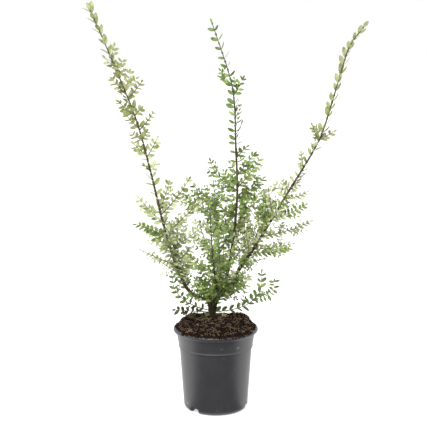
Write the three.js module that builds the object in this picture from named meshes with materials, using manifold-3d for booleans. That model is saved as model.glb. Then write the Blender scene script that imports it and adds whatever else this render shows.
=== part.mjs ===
// Box honeysuckle in a nursery pot: a young evergreen shrub with three long leaders.
// Millimetres, +Z up. The origin is the middle of the pot's flat underside.
// The turn of a shoot is its compass angle: 0 points along +X, 90 along +Y.
import * as THREE from 'three';
import { mergeVertices } from 'three/addons/utils/BufferGeometryUtils.js';
import Module from 'manifold-3d';

const wasm = await Module();
wasm.setup();

// Driving sizes of the pot
const POT_RIM_RADIUS = 75;
const POT_TOP = 147;
const LIP_HEIGHT = 7.5;
const BAND_TOP_RADIUS = 69.2;
const BAND_BOTTOM = 114.5;
const BAND_BOTTOM_RADIUS = 65.8;
const BODY_TOP_RADIUS = 64.2;
const BODY_FOOT_RADIUS = 57;
const FOOT_CORNER = 8;
const BAND_STEP = 2.5;
const WALL = 1.6;
const BASE_THICKNESS = 2.2;
const BASE_RAISE = 7;
const DRAFT = 1;
const FOOT_RING_INNER_RADIUS = 44;
const CENTRE_DISC_RADIUS = 24;
const CENTRE_WELL_RADIUS = 21;
const POT_SIDES = 36;
const NOTCH_COUNT = 3;
const NOTCH_FIRST_TURN = 228;
const NOTCH_WIDTH = 15;
const NOTCH_HEIGHT = 10;

// Driving sizes of the soil
const FIT_GAP = 0.3;
const SOIL_EDGE_HEIGHT = 141;
const SOIL_DOME = 15;
const SOIL_LUMP = 2.2;
const LUMP_WIDTH = 6.3;
const LUMP_DEPTH = 5.1;
const CRUMB_WIDTH = 3.3;
const CRUMB_SHARE = 0.5;
const SOIL_RINGS = 7;
const SOIL_LEVEL_RADIUS = 20;
const SOIL_BLEND_RADIUS = 36;

// Driving sizes of the trunk and of the limbs that rise from it
const TRUNK_FOOT = [-6, 24, 156.7];
const TRUNK_FORK = [-2.5, 24, 190];
const TRUNK_RADIUS = 5.6;
const FLARE_RADIUS = 8.4;
const FLARE_HEIGHT = 4;
const TRUNK_RINGS = [0, 0.12, 0.3, 0.55, 0.8, 0.93, 1];
const TRUNK_TOP_NARROWING = [1, 1, 1, 1, 1, 0.85, 0.5];
const TRUNK_SIDES = 10;
const LIMB_SIDES = 6;
const LIMB_STEP = 18;
const LIMB_TAPER = 1.5;

// Each limb: its route through a few points, its radius at the foot and at the tip
// of the whole route, and the share of the route that is bare limb. The rest of the
// route is the stem of the mass at its tip, with twigs at the given shares of it.
const LIMBS = {
  leader_left: {
    route: [[-3, 24, 187], [-44, 23, 202], [-69, 21, 250], [-93, 19, 331], [-113, 17, 418],
      [-136, 12, 508], [-173, 6, 605], [-212, 0, 698]],
    foot: 3.4, tip: 0.8, bare: 0.77, tipTwigs: [0.08, 0.2, 0.33],
  },
  leader_centre: {
    route: [[-1, 24, 186], [18, 26, 225], [30, 30, 290], [38, 33, 378], [35, 35, 470],
      [33, 34, 531], [25, 33, 583], [-7, 30, 678]],
    foot: 3.3, tip: 0.8, bare: 0.7, tipTwigs: [0.12, 0.26],
  },
  leader_right: {
    route: [[0, 24, 186], [27, 26, 222], [75, 29, 294], [123, 33, 374], [173, 38, 457],
      [192, 41, 501], [219, 46, 593], [233, 49, 637], [257, 52, 670]],
    foot: 3.4, tip: 0.8, bare: 0.77, tipTwigs: [],
  },
  bough_front: {
    route: [[4, 24, 196], [0, -4, 228], [-6, -44, 290], [-10, -74, 372]],
    foot: 2.4, tip: 0.8, bare: 0.5, tipTwigs: [0.1, 0.25, 0.4],
  },
  bough_back: {
    route: [[4, 25, 198], [8, 58, 232], [4, 96, 300], [-4, 122, 386]],
    foot: 2.4, tip: 0.8, bare: 0.5, tipTwigs: [0.1, 0.25, 0.4],
  },
};

// The side shoots of each limb, from its top down. Each row: height where it leaves the
// limb, turn, rise above the level at its root and at its tip in degrees, and length.
const SHOOTS = {
  leader_left: [
    [556, 155, 40, 46, 36], [549, 327, 40, 52, 40], [520, 207, 37, 42, 36], [496, 153, 40, 44, 38],
    [494, 36, 42, 54, 42], [449, 152, 36, 40, 32], [446, 322, 54, 58, 40],
    [352, 60, 54, 62, 54], [344, 337, 46, 60, 86], [328, 156, 40, 46, 66], [310, 334, 42, 46, 90],
    [304, 206, 30, 14, 64], [294, 280, 44, 60, 58], [285, 146, 24, 38, 62], [283, 25, 26, 44, 84],
    [264, 85, 40, 52, 62], [258, 316, 36, 42, 52], [252, 206, 26, 30, 76], [237, 142, 18, 30, 64],
  ],
  leader_centre: [
    [443, 40, 40, 28, 30], [411, 326, 50, 48, 54], [390, 37, 38, 54, 68], [386, 156, 26, 80, 74],
    [369, 326, 36, 42, 68], [338, 199, 34, 44, 100], [300, 162, 46, 14, 128],
  ],
  leader_right: [
    [474, 23, 24, 28, 32], [472, 229, 54, 60, 36], [426, 104, 56, 66, 28], [371, 330, 10, 38, 46],
    [338, 252, 56, 62, 62], [337, 24, 8, 32, 68], [306, 94, 44, 56, 54],
    [303, 344, 14, 32, 94], [280, 14, 2, 12, 74], [274, 341, 4, 24, 72], [272, 258, 48, 56, 56],
    [256, 325, 14, 22, 48], [246, 70, 34, 46, 66],
  ],
  bough_front: [
    [262, 322, 34, 46, 62], [246, 205, 34, 46, 62],
  ],
  bough_back: [
    [270, 30, 34, 46, 64], [250, 150, 34, 46, 64],
  ],
  trunk: [
    [168, 195, 18, 100, 114], [166, 216, 12, 12, 82], [167, 346, 8, 110, 134],
  ],
};

// Driving sizes of the foliage
const SEED = 42;
const SEED_STEP = 97;
const STEM_STEPS = 4;
const STEM_FOOT_RADIUS = 1.3;
const STEM_TIP_RADIUS = 0.8;
const FORKING_LENGTH = 64;
const TWIG_PLACES = [0.38, 0.66];
const TWIG_TURN = 48;
const TWIG_SHARE = 0.42;
const TIP_TWIG_TURN = 38;
const TIP_TWIG_SHARE = 0.2;
const TWIG_TURN_CHANCE = 12;
const TWIG_LENGTH_CHANCE = 0.3;
const TWIG_TAPER_END = 1.15;
const PAIR_STEP = 16;
const FIRST_PAIR = 11;
const LEAF_LENGTH = 17;
const LEAF_WIDTH_SHARE = 0.62;
const LEAF_WIDEST = 0.45;
const LEAF_THICKNESS = 1.6;
const LEAF_THICKEST = 0.3;
const YOUNG_LEAF_SHRINK = 0.3;
const END_LEAF_SHARE = 0.62;
const END_LEAF_SUNK = 2.5;
const TWIG_LEAF_SHARE = 0.88;
const LEAF_SPREAD = 60;
const LEAF_ROOM = 9;
const SPRAY_TILT_LEAST = 35;
const SPRAY_TILT_MOST = 65;
const SPACE_MARGIN = 0.9;
const LIMB_CLEARANCE = 0.8;
const LOWEST_LEAF = 161;
const SMOOTHING = 0.05;
const CORNER_JOIN = 1e-4;

const UP = new THREE.Vector3(0, 0, 1);

function finish(color, roughness, metalness = 0) {
  return new THREE.MeshStandardMaterial({ color, roughness, metalness });
}

const potFinish = finish('#47484b', 0.42);
const soilFinish = finish('#453325', 0.95);
const barkFinish = finish('#5d4f42', 0.85);
const foliageFinish = finish('#6f8f45', 0.6);

// A closed geometry as a solid for cutting and joining; corners nearer than the join
// are one corner
function toSolid(geometry) {
  const bare = geometry.index ? geometry.clone() : geometry;
  bare.deleteAttribute('normal');
  bare.deleteAttribute('uv');
  const merged = mergeVertices(bare, CORNER_JOIN);
  const mesh = new wasm.Mesh({
    numProp: 3,
    vertProperties: new Float32Array(merged.attributes.position.array),
    triVerts: new Uint32Array(merged.index.array),
  });
  mesh.merge();
  return new wasm.Manifold(mesh);
}

// The largest body of a solid, so that no loose scrap is left
function mainBody(solid) {
  const bodies = solid.decompose();
  bodies.sort((a, b) => b.volume() - a.volume());
  return bodies[0];
}

function toGeometry(solid) {
  const { vertProperties, triVerts } = solid.getMesh();
  const geometry = new THREE.BufferGeometry();
  geometry.setAttribute('position', new THREE.BufferAttribute(vertProperties, 3));
  geometry.setIndex(new THREE.BufferAttribute(triVerts, 1));
  geometry.computeVertexNormals();
  return geometry;
}

// A profile of [radius, height] points turned about the pot's axis
function turned(profile) {
  const points = profile.map(([radius, height]) => new THREE.Vector2(radius, height));
  const geometry = new THREE.LatheGeometry(points, POT_SIDES);
  geometry.rotateX(Math.PI / 2);
  return geometry;
}

// Points of an arc in a profile, angles in degrees
function arc(centreRadius, centreHeight, size, from, to, steps) {
  return Array.from({ length: steps + 1 }, (_, i) => {
    const angle = THREE.MathUtils.degToRad(from + ((to - from) * i) / steps);
    return [centreRadius + size * Math.cos(angle), centreHeight + size * Math.sin(angle)];
  });
}

// Repeatable random numbers from 0 to 1
function seeded(seed) {
  let value = seed;
  return () => {
    value = (Math.imul(value, 1664525) + 1013904223) >>> 0;
    return value / 4294967296;
  };
}

// The inside of the pot's wall from its lip to its base, drawn in by a clearance
function insideWall(clearance) {
  return [
    [BAND_TOP_RADIUS - WALL - clearance, POT_TOP - LIP_HEIGHT],
    [BAND_BOTTOM_RADIUS - WALL - clearance, BAND_BOTTOM],
    [BODY_TOP_RADIUS - WALL - clearance, BAND_BOTTOM - BAND_STEP],
    [BODY_FOOT_RADIUS - WALL - clearance, FOOT_CORNER + BASE_THICKNESS + WALL],
    [BODY_FOOT_RADIUS - FOOT_CORNER - clearance, BASE_RAISE + BASE_THICKNESS + clearance],
  ];
}

// Pot: one thin moulded cup with a rolled lip, a wider band under it, a rounded foot
// ring with drain notches, and a raised base whose middle disc reaches the ground.
function makePot() {
  const lipRadius = LIP_HEIGHT / 2;
  const lipMiddle = POT_TOP - lipRadius;
  const outside = [
    [0, 0],
    [CENTRE_DISC_RADIUS - DRAFT, 0],
    [CENTRE_DISC_RADIUS + DRAFT, BASE_RAISE],
    [FOOT_RING_INNER_RADIUS - DRAFT, BASE_RAISE],
    [FOOT_RING_INNER_RADIUS + DRAFT, 0],
    ...arc(BODY_FOOT_RADIUS - FOOT_CORNER, FOOT_CORNER, FOOT_CORNER, 270, 360, 4),
    [BODY_TOP_RADIUS, BAND_BOTTOM - BAND_STEP],
    [BAND_BOTTOM_RADIUS, BAND_BOTTOM],
    [BAND_TOP_RADIUS, POT_TOP - LIP_HEIGHT],
    ...arc(POT_RIM_RADIUS - lipRadius, lipMiddle, lipRadius, 270, 450, 5),
  ];
  const inside = [
    ...insideWall(0),
    [CENTRE_DISC_RADIUS - DRAFT, BASE_RAISE + BASE_THICKNESS],
    [CENTRE_WELL_RADIUS, BASE_THICKNESS],
    [0, BASE_THICKNESS],
  ];
  let pot = toSolid(turned([...outside, ...inside]));
  const notchDepth = 2 * (BODY_FOOT_RADIUS - FOOT_RING_INNER_RADIUS);
  for (let i = 0; i < NOTCH_COUNT; i += 1) {
    const turn = THREE.MathUtils.degToRad(NOTCH_FIRST_TURN + (360 * i) / NOTCH_COUNT);
    const notch = new THREE.BoxGeometry(notchDepth, NOTCH_WIDTH, 2 * NOTCH_HEIGHT);
    notch.translate(BODY_FOOT_RADIUS, 0, 0);
    notch.rotateZ(turn);
    pot = pot.subtract(toSolid(notch));
  }
  return pot;
}

// Soil: peat that fills the pot a fit gap inside its wall and is heaped over the rim,
// lumpy on top, with a level place under the trunk's cut foot.
function makeSoil() {
  const side = insideWall(FIT_GAP).reverse();
  const [edgeRadius] = side[side.length - 1];
  const top = Array.from({ length: SOIL_RINGS + 1 }, (_, i) => {
    return [(edgeRadius * (SOIL_RINGS - i)) / SOIL_RINGS, SOIL_EDGE_HEIGHT];
  });
  const geometry = turned([[0, side[0][1]], ...side, ...top]);
  const places = geometry.attributes.position;
  for (let i = 0; i < places.count; i += 1) {
    if (places.getZ(i) > POT_TOP - LIP_HEIGHT + FIT_GAP) {
      places.setZ(i, soilHeight(places.getX(i), places.getY(i)));
    }
  }
  return toSolid(geometry);
}

function soilHeight(x, y) {
  const outward = Math.min(1, Math.hypot(x, y) / BAND_TOP_RADIUS);
  const dome = SOIL_DOME * (1 - outward ** 2);
  const lump = Math.sin(x / LUMP_WIDTH) * Math.cos(y / LUMP_DEPTH);
  const crumb = CRUMB_SHARE * Math.sin((x + y) / CRUMB_WIDTH);
  const natural = SOIL_EDGE_HEIGHT + dome + SOIL_LUMP * (lump + crumb) * (1 - outward ** 8);
  const fromTrunk = Math.hypot(x - TRUNK_FOOT[0], y - TRUNK_FOOT[1]);
  const apart = THREE.MathUtils.smoothstep(fromTrunk, SOIL_LEVEL_RADIUS, SOIL_BLEND_RADIUS);
  return THREE.MathUtils.lerp(TRUNK_FOOT[2] - FIT_GAP, natural, apart);
}

// A round limb along a path of points, with one radius for each point
function sweep(path, radii, sides) {
  const positions = [];
  const index = [];
  let across = new THREE.Vector3(0, 1, 0);
  path.forEach((point, i) => {
    const ahead = path[Math.min(i + 1, path.length - 1)].clone();
    const along = ahead.sub(path[Math.max(i - 1, 0)]).normalize();
    across = across.clone().addScaledVector(along, -across.dot(along)).normalize();
    const beside = new THREE.Vector3().crossVectors(along, across);
    for (let k = 0; k < sides; k += 1) {
      const angle = (2 * Math.PI * k) / sides;
      const place = point.clone().addScaledVector(across, radii[i] * Math.cos(angle));
      place.addScaledVector(beside, radii[i] * Math.sin(angle));
      positions.push(place.x, place.y, place.z);
    }
  });
  const last = (path.length - 1) * sides;
  for (let i = 0; i < last; i += sides) {
    for (let k = 0; k < sides; k += 1) {
      const next = (k + 1) % sides;
      index.push(i + k, i + next, i + sides + next, i + k, i + sides + next, i + sides + k);
    }
  }
  for (let k = 1; k < sides - 1; k += 1) {
    index.push(0, k + 1, k, last, last + k, last + k + 1);
  }
  const geometry = new THREE.BufferGeometry();
  geometry.setAttribute('position', new THREE.Float32BufferAttribute(positions, 3));
  geometry.setIndex(index);
  return geometry;
}

// A limb: points at even steps along a smooth curve through its route
function layOutLimb({ route, foot, tip, bare, tipTwigs }) {
  const curve = new THREE.CatmullRomCurve3(route.map((p) => new THREE.Vector3(...p)), false, 'catmullrom');
  const whole = curve.getLength();
  const radiusAt = (share) => tip + (foot - tip) * (1 - share) ** LIMB_TAPER;
  const steps = Math.round((whole * bare) / LIMB_STEP);
  const path = Array.from({ length: steps + 1 }, (_, i) => curve.getPointAt((bare * i) / steps));
  const radii = path.map((_, i) => radiusAt((bare * i) / steps));
  const stemStart = bare + FIT_GAP / whole;
  const stemSteps = Math.round((whole * (1 - stemStart)) / LIMB_STEP);
  const stemShare = (i) => stemStart + ((1 - stemStart) * i) / stemSteps;
  const stem = Array.from({ length: stemSteps + 1 }, (_, i) => curve.getPointAt(stemShare(i)));
  const stemRadii = stem.map((_, i) => radiusAt(stemShare(i)));
  return { path, radii, stem, stemRadii, tipTwigs };
}

// The trunk: upright at its level foot, then leaning to its fork, with a flare at the
// foot and a rounded top between the leaders
function layOutTrunk() {
  const foot = new THREE.Vector3(...TRUNK_FOOT);
  const fork = new THREE.Vector3(...TRUNK_FORK);
  const rise = fork.z - foot.z;
  const upright = TRUNK_RINGS[1];
  const path = TRUNK_RINGS.map((share) => {
    const point = foot.clone().lerp(fork, Math.max(0, (share - upright) / (1 - upright)));
    point.z = foot.z + rise * share;
    return point;
  });
  const radii = TRUNK_RINGS.map((share, i) => {
    const flare = (FLARE_RADIUS - TRUNK_RADIUS) * Math.exp((-share * rise) / FLARE_HEIGHT);
    return (TRUNK_RADIUS + flare) * TRUNK_TOP_NARROWING[i];
  });
  return { path, radii };
}

// The path of a shoot: its rise changes slowly at its root and quickly near its tip
function shootPath(root, turn, rise, lift, length, steps) {
  const path = [root.clone()];
  for (let i = 0; i < steps; i += 1) {
    const slope = THREE.MathUtils.degToRad(rise + (lift - rise) * ((i + 0.5) / steps) ** 2);
    const compass = THREE.MathUtils.degToRad(turn);
    const level = Math.cos(slope) * (length / steps);
    const step = new THREE.Vector3(Math.cos(compass) * level, Math.sin(compass) * level, 0);
    step.z = Math.sin(slope) * (length / steps);
    path.push(path[i].clone().add(step));
  }
  return path;
}

// The place on a path at a given height
function placeAtHeight(path, height) {
  const i = path.findIndex((point) => point.z >= height);
  const below = path[i - 1];
  return below.clone().lerp(path[i], (height - below.z) / (path[i].z - below.z));
}

// The place and the direction at a distance along a path
function placeAlong(path, distance) {
  let left = distance;
  for (let i = 0; i < path.length - 1; i += 1) {
    const step = path[i].distanceTo(path[i + 1]);
    const direction = path[i + 1].clone().sub(path[i]).normalize();
    if (left <= step || i === path.length - 2) {
      return { place: path[i].clone().addScaledVector(direction, Math.min(left, step)), direction };
    }
    left -= step;
  }
  return null;
}

function pathLength(path) {
  return path.slice(1).reduce((sum, point, i) => sum + point.distanceTo(path[i]), 0);
}

// The gap from a point to a path, less the path's own radius there
function gapTo(point, path, radii) {
  let best = Infinity;
  const nearest = new THREE.Vector3();
  for (let i = 0; i < path.length - 1; i += 1) {
    const line = new THREE.Line3(path[i], path[i + 1]);
    const share = line.closestPointToPointParameter(point, true);
    line.at(share, nearest);
    const radius = radii ? radii[i] + (radii[i + 1] - radii[i]) * share : 0;
    best = Math.min(best, point.distanceTo(nearest) - radius);
  }
  return best;
}

// Lay out every limb and every mass's stem before any leaf, since the stems share
// out the space: a point belongs to the mass whose stem is nearest.
const limbs = { trunk: layOutTrunk() };
for (const [name, limb] of Object.entries(LIMBS)) {
  limbs[name] = layOutLimb(limb);
}

const masses = [];
for (const [limbName, rows] of Object.entries(SHOOTS)) {
  const limb = limbs[limbName];
  const label = limbName.replace('leader_', '').replace('bough_', '');
  if (limb.stem) {
    const tip = { path: limb.stem, radii: limb.stemRadii, twigPlaces: limb.tipTwigs };
    masses.push({ name: `${label}_tip`, limb: null, upright: true, ...tip });
  }
  rows.forEach(([height, turn, rise, lift, length], row) => {
    const root = placeAtHeight(limb.path, height);
    const path = shootPath(root, turn, rise, lift, length, STEM_STEPS);
    const thinning = (STEM_TIP_RADIUS - STEM_FOOT_RADIUS) / STEM_STEPS;
    const radii = path.map((_, i) => STEM_FOOT_RADIUS + thinning * i);
    const twigPlaces = length > FORKING_LENGTH ? TWIG_PLACES : [];
    const name = `${label}_shoot_${row + 1}`;
    masses.push({ name, limb: limbName, upright: false, path, radii, twigPlaces });
  });
}

// Whether a point lies in a mass's own space and clear of every limb
function inSpace(point, mass) {
  if (point.z < LOWEST_LEAF) {
    return false;
  }
  const own = gapTo(point, mass.path, null) + SPACE_MARGIN;
  const isOwn = masses.every((other) => other === mass || gapTo(point, other.path, null) > own);
  const isClear = (limb) => gapTo(point, limb.path, limb.radii) > LIMB_CLEARANCE;
  return isOwn && Object.values(limbs).every(isClear);
}

// Leaves stand in pairs, one on each side of the twig. Along an upright tip each pair
// stands square to the last one. Along a side shoot all pairs lie in one tilted plane.
function leafPairs(path, across, upright, scale) {
  const leaves = [];
  const length = pathLength(path);
  const spread = THREE.MathUtils.degToRad(LEAF_SPREAD);
  let pair = 0;
  for (let distance = FIRST_PAIR; distance <= length; distance += PAIR_STEP) {
    const { place, direction } = placeAlong(path, distance);
    const side = across.clone();
    if (upright && pair % 2 === 1) {
      side.applyAxisAngle(direction, Math.PI / 2);
    }
    side.addScaledVector(direction, -side.dot(direction)).normalize();
    for (const way of [1, -1]) {
      const blade = direction.clone().multiplyScalar(Math.cos(spread));
      blade.addScaledVector(side, way * Math.sin(spread)).normalize();
      const face = new THREE.Vector3().crossVectors(side, direction).normalize();
      const young = 1 - YOUNG_LEAF_SHRINK * (distance / length);
      leaves.push({ root: place, blade, face, length: LEAF_LENGTH * young * scale });
    }
    pair += 1;
  }
  const end = placeAlong(path, length - END_LEAF_SUNK);
  const face = new THREE.Vector3().crossVectors(across, end.direction).normalize();
  leaves.push({ root: end.place, blade: end.direction, face, length: LEAF_LENGTH * END_LEAF_SHARE * scale });
  return leaves;
}

function leafCorners({ root, blade, face, length }) {
  const left = new THREE.Vector3().crossVectors(face, blade);
  const middle = root.clone().addScaledVector(blade, length * LEAF_WIDEST);
  const thickest = root.clone().addScaledVector(blade, length * LEAF_THICKEST);
  const halfWidth = (length * LEAF_WIDTH_SHARE) / 2;
  return {
    root,
    tip: root.clone().addScaledVector(blade, length),
    left: middle.clone().addScaledVector(left, halfWidth),
    right: middle.clone().addScaledVector(left, -halfWidth),
    top: thickest.clone().addScaledVector(face, LEAF_THICKNESS / 2),
    bottom: thickest.clone().addScaledVector(face, -LEAF_THICKNESS / 2),
  };
}

// A leaf: a flat lozenge of eight faces
function leafGeometry({ root, tip, left, right, top, bottom }) {
  const geometry = new THREE.BufferGeometry().setFromPoints([root, tip, left, right, top, bottom]);
  geometry.setIndex([0, 3, 4, 3, 1, 4, 1, 2, 4, 2, 0, 4, 3, 0, 5, 1, 3, 5, 2, 1, 5, 0, 2, 5]);
  return geometry;
}

// A mass: its stem, twigs that fork from it by turns to either side, and leaves on all
// of them. Stem, twigs and leaves lie in one plane, tilted so that the spray turns its
// broad side to the front or the back. What would leave the mass's space, touch a limb
// or crowd an earlier leaf is skipped.
function makeMass(mass, order) {
  const chance = seeded(SEED + SEED_STEP * order);
  const length = pathLength(mass.path);
  const start = placeAlong(mass.path, 0);
  const level = new THREE.Vector3().crossVectors(start.direction, UP).normalize();
  const tilt = THREE.MathUtils.degToRad(THREE.MathUtils.lerp(SPRAY_TILT_LEAST, SPRAY_TILT_MOST, chance()));
  const choices = [tilt, -tilt].map((angle) => level.clone().applyAxisAngle(start.direction, angle));
  const depth = (side) => Math.abs(new THREE.Vector3().crossVectors(side, start.direction).y);
  const broadside = depth(choices[0]) > depth(choices[1]) ? choices[0] : choices[1];
  const across = mass.upright ? new THREE.Vector3(1, 0, 0) : broadside;
  const pieces = [toSolid(sweep(mass.path, mass.radii, 3))];
  const leaves = leafPairs(mass.path, across, mass.upright, 1);
  const twigTurn = mass.upright ? TIP_TWIG_TURN : TWIG_TURN;
  const twigShare = mass.upright ? TIP_TWIG_SHARE : TWIG_SHARE;
  mass.twigPlaces.forEach((share, i) => {
    const { place, direction } = placeAlong(mass.path, length * share);
    const way = i % 2 === 0 ? 1 : -1;
    const turn = THREE.MathUtils.degToRad(way * (twigTurn + TWIG_TURN_CHANCE * (chance() - 0.5)));
    const axis = new THREE.Vector3().crossVectors(direction, across).normalize();
    const heading = direction.clone().applyAxisAngle(axis, turn);
    const luck = 1 + TWIG_LENGTH_CHANCE * (chance() - 0.5);
    const twigLength = twigShare * length * (TWIG_TAPER_END - share) * luck;
    const twig = [place, place.clone().addScaledVector(heading, twigLength)];
    if (inSpace(twig[1], mass)) {
      pieces.push(toSolid(sweep(twig, [STEM_TIP_RADIUS, STEM_TIP_RADIUS], 3)));
      leaves.push(...leafPairs(twig, across, false, TWIG_LEAF_SHARE));
    }
  });
  const placed = [];
  for (const leaf of leaves) {
    const corners = leafCorners(leaf);
    const middle = leaf.root.clone().lerp(corners.tip, 0.5);
    const roomy = placed.every((point) => point.distanceTo(middle) > LEAF_ROOM);
    if (roomy && [corners.tip, corners.left, corners.right, middle].every((point) => inSpace(point, mass))) {
      pieces.push(toSolid(leafGeometry(corners)));
      placed.push(middle);
    }
  }
  return wasm.Manifold.union(pieces);
}

// The object: every piece is one named mesh
const shrub = new THREE.Group();

function add(name, solid, material) {
  const mesh = new THREE.Mesh(toGeometry(mainBody(solid.asOriginal().simplify(SMOOTHING))), material);
  mesh.name = name;
  shrub.add(mesh);
}

// The same limb grown by the fit gap, to cut what grows from it clear of it
function grown(limb, sides) {
  return toSolid(sweep(limb.path, limb.radii.map((radius) => radius + FIT_GAP), sides));
}

add('pot', makePot(), potFinish);
add('soil', makeSoil(), soilFinish);
add('trunk', toSolid(sweep(limbs.trunk.path, limbs.trunk.radii, TRUNK_SIDES)), barkFinish);

const clearances = { trunk: grown(limbs.trunk, TRUNK_SIDES) };
for (const name of Object.keys(LIMBS)) {
  let solid = toSolid(sweep(limbs[name].path, limbs[name].radii, LIMB_SIDES));
  for (const earlier of Object.values(clearances)) {
    solid = solid.subtract(earlier);
  }
  add(name, solid, barkFinish);
  clearances[name] = grown(limbs[name], LIMB_SIDES);
}

masses.forEach((mass, order) => {
  let solid = makeMass(mass, order);
  if (mass.limb) {
    solid = solid.subtract(clearances[mass.limb]);
  }
  add(mass.name, solid, foliageFinish);
});

export default shrub;
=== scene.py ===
# Box honeysuckle in a nursery pot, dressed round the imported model. Metres, +Z up.
# The sections follow the plant from the ground up: pot, soil, bark, twigs, leaves.
# Their lengths are written in millimetres, and MM turns them into metres. Those of the
# floor, the light and the camera are metres as they stand.
import math

import bmesh
import bpy
import numpy as np
from mathutils import Matrix, Quaternion, Vector, noise


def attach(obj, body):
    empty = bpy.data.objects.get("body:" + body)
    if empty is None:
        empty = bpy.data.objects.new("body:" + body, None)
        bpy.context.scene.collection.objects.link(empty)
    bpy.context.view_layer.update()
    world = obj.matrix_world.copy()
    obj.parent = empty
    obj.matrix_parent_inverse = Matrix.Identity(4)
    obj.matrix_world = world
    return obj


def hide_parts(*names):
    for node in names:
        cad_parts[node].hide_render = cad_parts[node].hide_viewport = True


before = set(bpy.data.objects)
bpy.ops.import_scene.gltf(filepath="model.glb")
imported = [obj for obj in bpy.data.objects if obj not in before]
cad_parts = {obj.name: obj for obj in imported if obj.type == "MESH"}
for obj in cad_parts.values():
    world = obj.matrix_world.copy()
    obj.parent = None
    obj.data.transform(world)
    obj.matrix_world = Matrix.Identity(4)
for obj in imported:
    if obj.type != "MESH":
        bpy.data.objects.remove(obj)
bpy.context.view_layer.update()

# Nursery pot: one thin cup of dark grey polypropylene, injection moulded. A rolled lip
# stiffens its mouth, a wider band under the lip ends in a small raised ridge, and three
# drain notches are cut in the rounded foot ring.
MM = 0.001
POT_RIM_RADIUS = 75
POT_TOP = 147
LIP_HEIGHT = 7.5
LIP_STEPS = 14
LIP_TUCK = 0.8
BAND_TOP_RADIUS = 69.2
BAND_BOTTOM = 114.5
BAND_BOTTOM_RADIUS = 65.8
BAND_STEP = 2.5
BAND_TOP_DROP = 3
BODY_TOP_RADIUS = 64.2
BODY_FOOT_RADIUS = 57
FOOT_CORNER = 8
FOOT_STEPS = 8
RIDGE_HEIGHT = 1.8
RIDGE_STAND = 0.4
RIDGE_SLOPES = (0.6, 0.8)
WALL = 1.6
BASE_RAISE = 7
BASE_SLOPE = 1
FOOT_RING_INNER_RADIUS = 44
CENTRE_DISC_RADIUS = 24
NOTCH_TURNS = (227, 347, 107)
NOTCH_WIDTH = 21
NOTCH_HEIGHT = 10
NOTCH_DEPTH = 32
NOTCH_CORNER = 3
POT_STEPS = 160
SHARP_ANGLE = 30


def hex_colour(code):
    """An sRGB hex colour as the linear colour that the shaders take."""
    parts = [int(code[i:i + 2], 16) / 255 for i in (1, 3, 5)]
    linear = [c / 12.92 if c <= 0.04045 else ((c + 0.055) / 1.055) ** 2.4 for c in parts]
    return (*linear, 1.0)


def add_node(material, kind, settings=None, links=None):
    """Adds one shader node with its settings and the links into its sockets."""
    made = material.node_tree.nodes.new("ShaderNode" + kind)
    for name, value in (settings or {}).items():
        if isinstance(name, str) and hasattr(made, name):
            setattr(made, name, value)
        else:
            made.inputs[name].default_value = value
    for socket, source in (links or {}).items():
        material.node_tree.links.new(source, made.inputs[socket])
    return made


def new_material(name):
    """An empty node material."""
    material = bpy.data.materials.new(name)
    material.use_nodes = True
    material.node_tree.nodes.clear()
    return material


def arc(centre_radius, centre_height, size, start, end, steps):
    """Profile points of an arc, angles in degrees."""
    angles = [math.radians(start + (end - start) * i / steps) for i in range(steps + 1)]
    return [
        (centre_radius + size * math.cos(a), centre_height + size * math.sin(a)) for a in angles
    ]


def spin_profile(profile, steps):
    """A bmesh turned from a profile of (radius, height) in millimetres."""
    shape = bmesh.new()
    rim = [shape.verts.new((radius * MM, 0, height * MM)) for radius, height in profile]
    lines = [shape.edges.new(pair) for pair in zip(rim, rim[1:])]
    bmesh.ops.spin(
        shape, geom=rim + lines, cent=(0, 0, 0), axis=(0, 0, 1),
        angle=2 * math.pi, steps=steps, use_merge=True,
    )
    bmesh.ops.remove_doubles(shape, verts=shape.verts, dist=0.001 * MM)
    bmesh.ops.recalc_face_normals(shape, faces=shape.faces)
    return shape


def smooth(mesh, sharp_angle=SHARP_ANGLE):
    mesh.shade_smooth()
    mesh.set_sharp_from_angle(angle=math.radians(sharp_angle))


def add_object(name, data):
    made = bpy.data.objects.new(name, data)
    bpy.context.scene.collection.objects.link(made)
    return made


def place_shape(name, shape, sharp_angle=SHARP_ANGLE):
    """A bmesh as an object of the scene, smooth but for its sharp edges."""
    mesh = bpy.data.meshes.new(name)
    shape.to_mesh(mesh)
    shape.free()
    smooth(mesh, sharp_angle)
    return add_object(name, mesh)


lip_radius = LIP_HEIGHT / 2
lip_foot = POT_TOP - LIP_HEIGHT
foot_middle = BODY_FOOT_RADIUS - FOOT_CORNER
ridge_radius = BAND_BOTTOM_RADIUS + RIDGE_STAND
pot_outside = [
    (0, 0), (CENTRE_DISC_RADIUS - BASE_SLOPE, 0),
    (CENTRE_DISC_RADIUS + BASE_SLOPE, BASE_RAISE),
    (FOOT_RING_INNER_RADIUS - BASE_SLOPE, BASE_RAISE), (FOOT_RING_INNER_RADIUS + BASE_SLOPE, 0),
    *arc(foot_middle, FOOT_CORNER, FOOT_CORNER, 270, 360, FOOT_STEPS),
    (BODY_TOP_RADIUS, BAND_BOTTOM - RIDGE_HEIGHT),
    (ridge_radius, BAND_BOTTOM - RIDGE_HEIGHT + RIDGE_SLOPES[0]), (ridge_radius, BAND_BOTTOM),
    (BAND_BOTTOM_RADIUS, BAND_BOTTOM + RIDGE_SLOPES[1]),
    (BAND_TOP_RADIUS, lip_foot - BAND_TOP_DROP), (BAND_TOP_RADIUS + LIP_TUCK, lip_foot - LIP_TUCK),
    *arc(POT_RIM_RADIUS - lip_radius, POT_TOP - lip_radius, lip_radius, 285, 450, LIP_STEPS),
]
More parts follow.
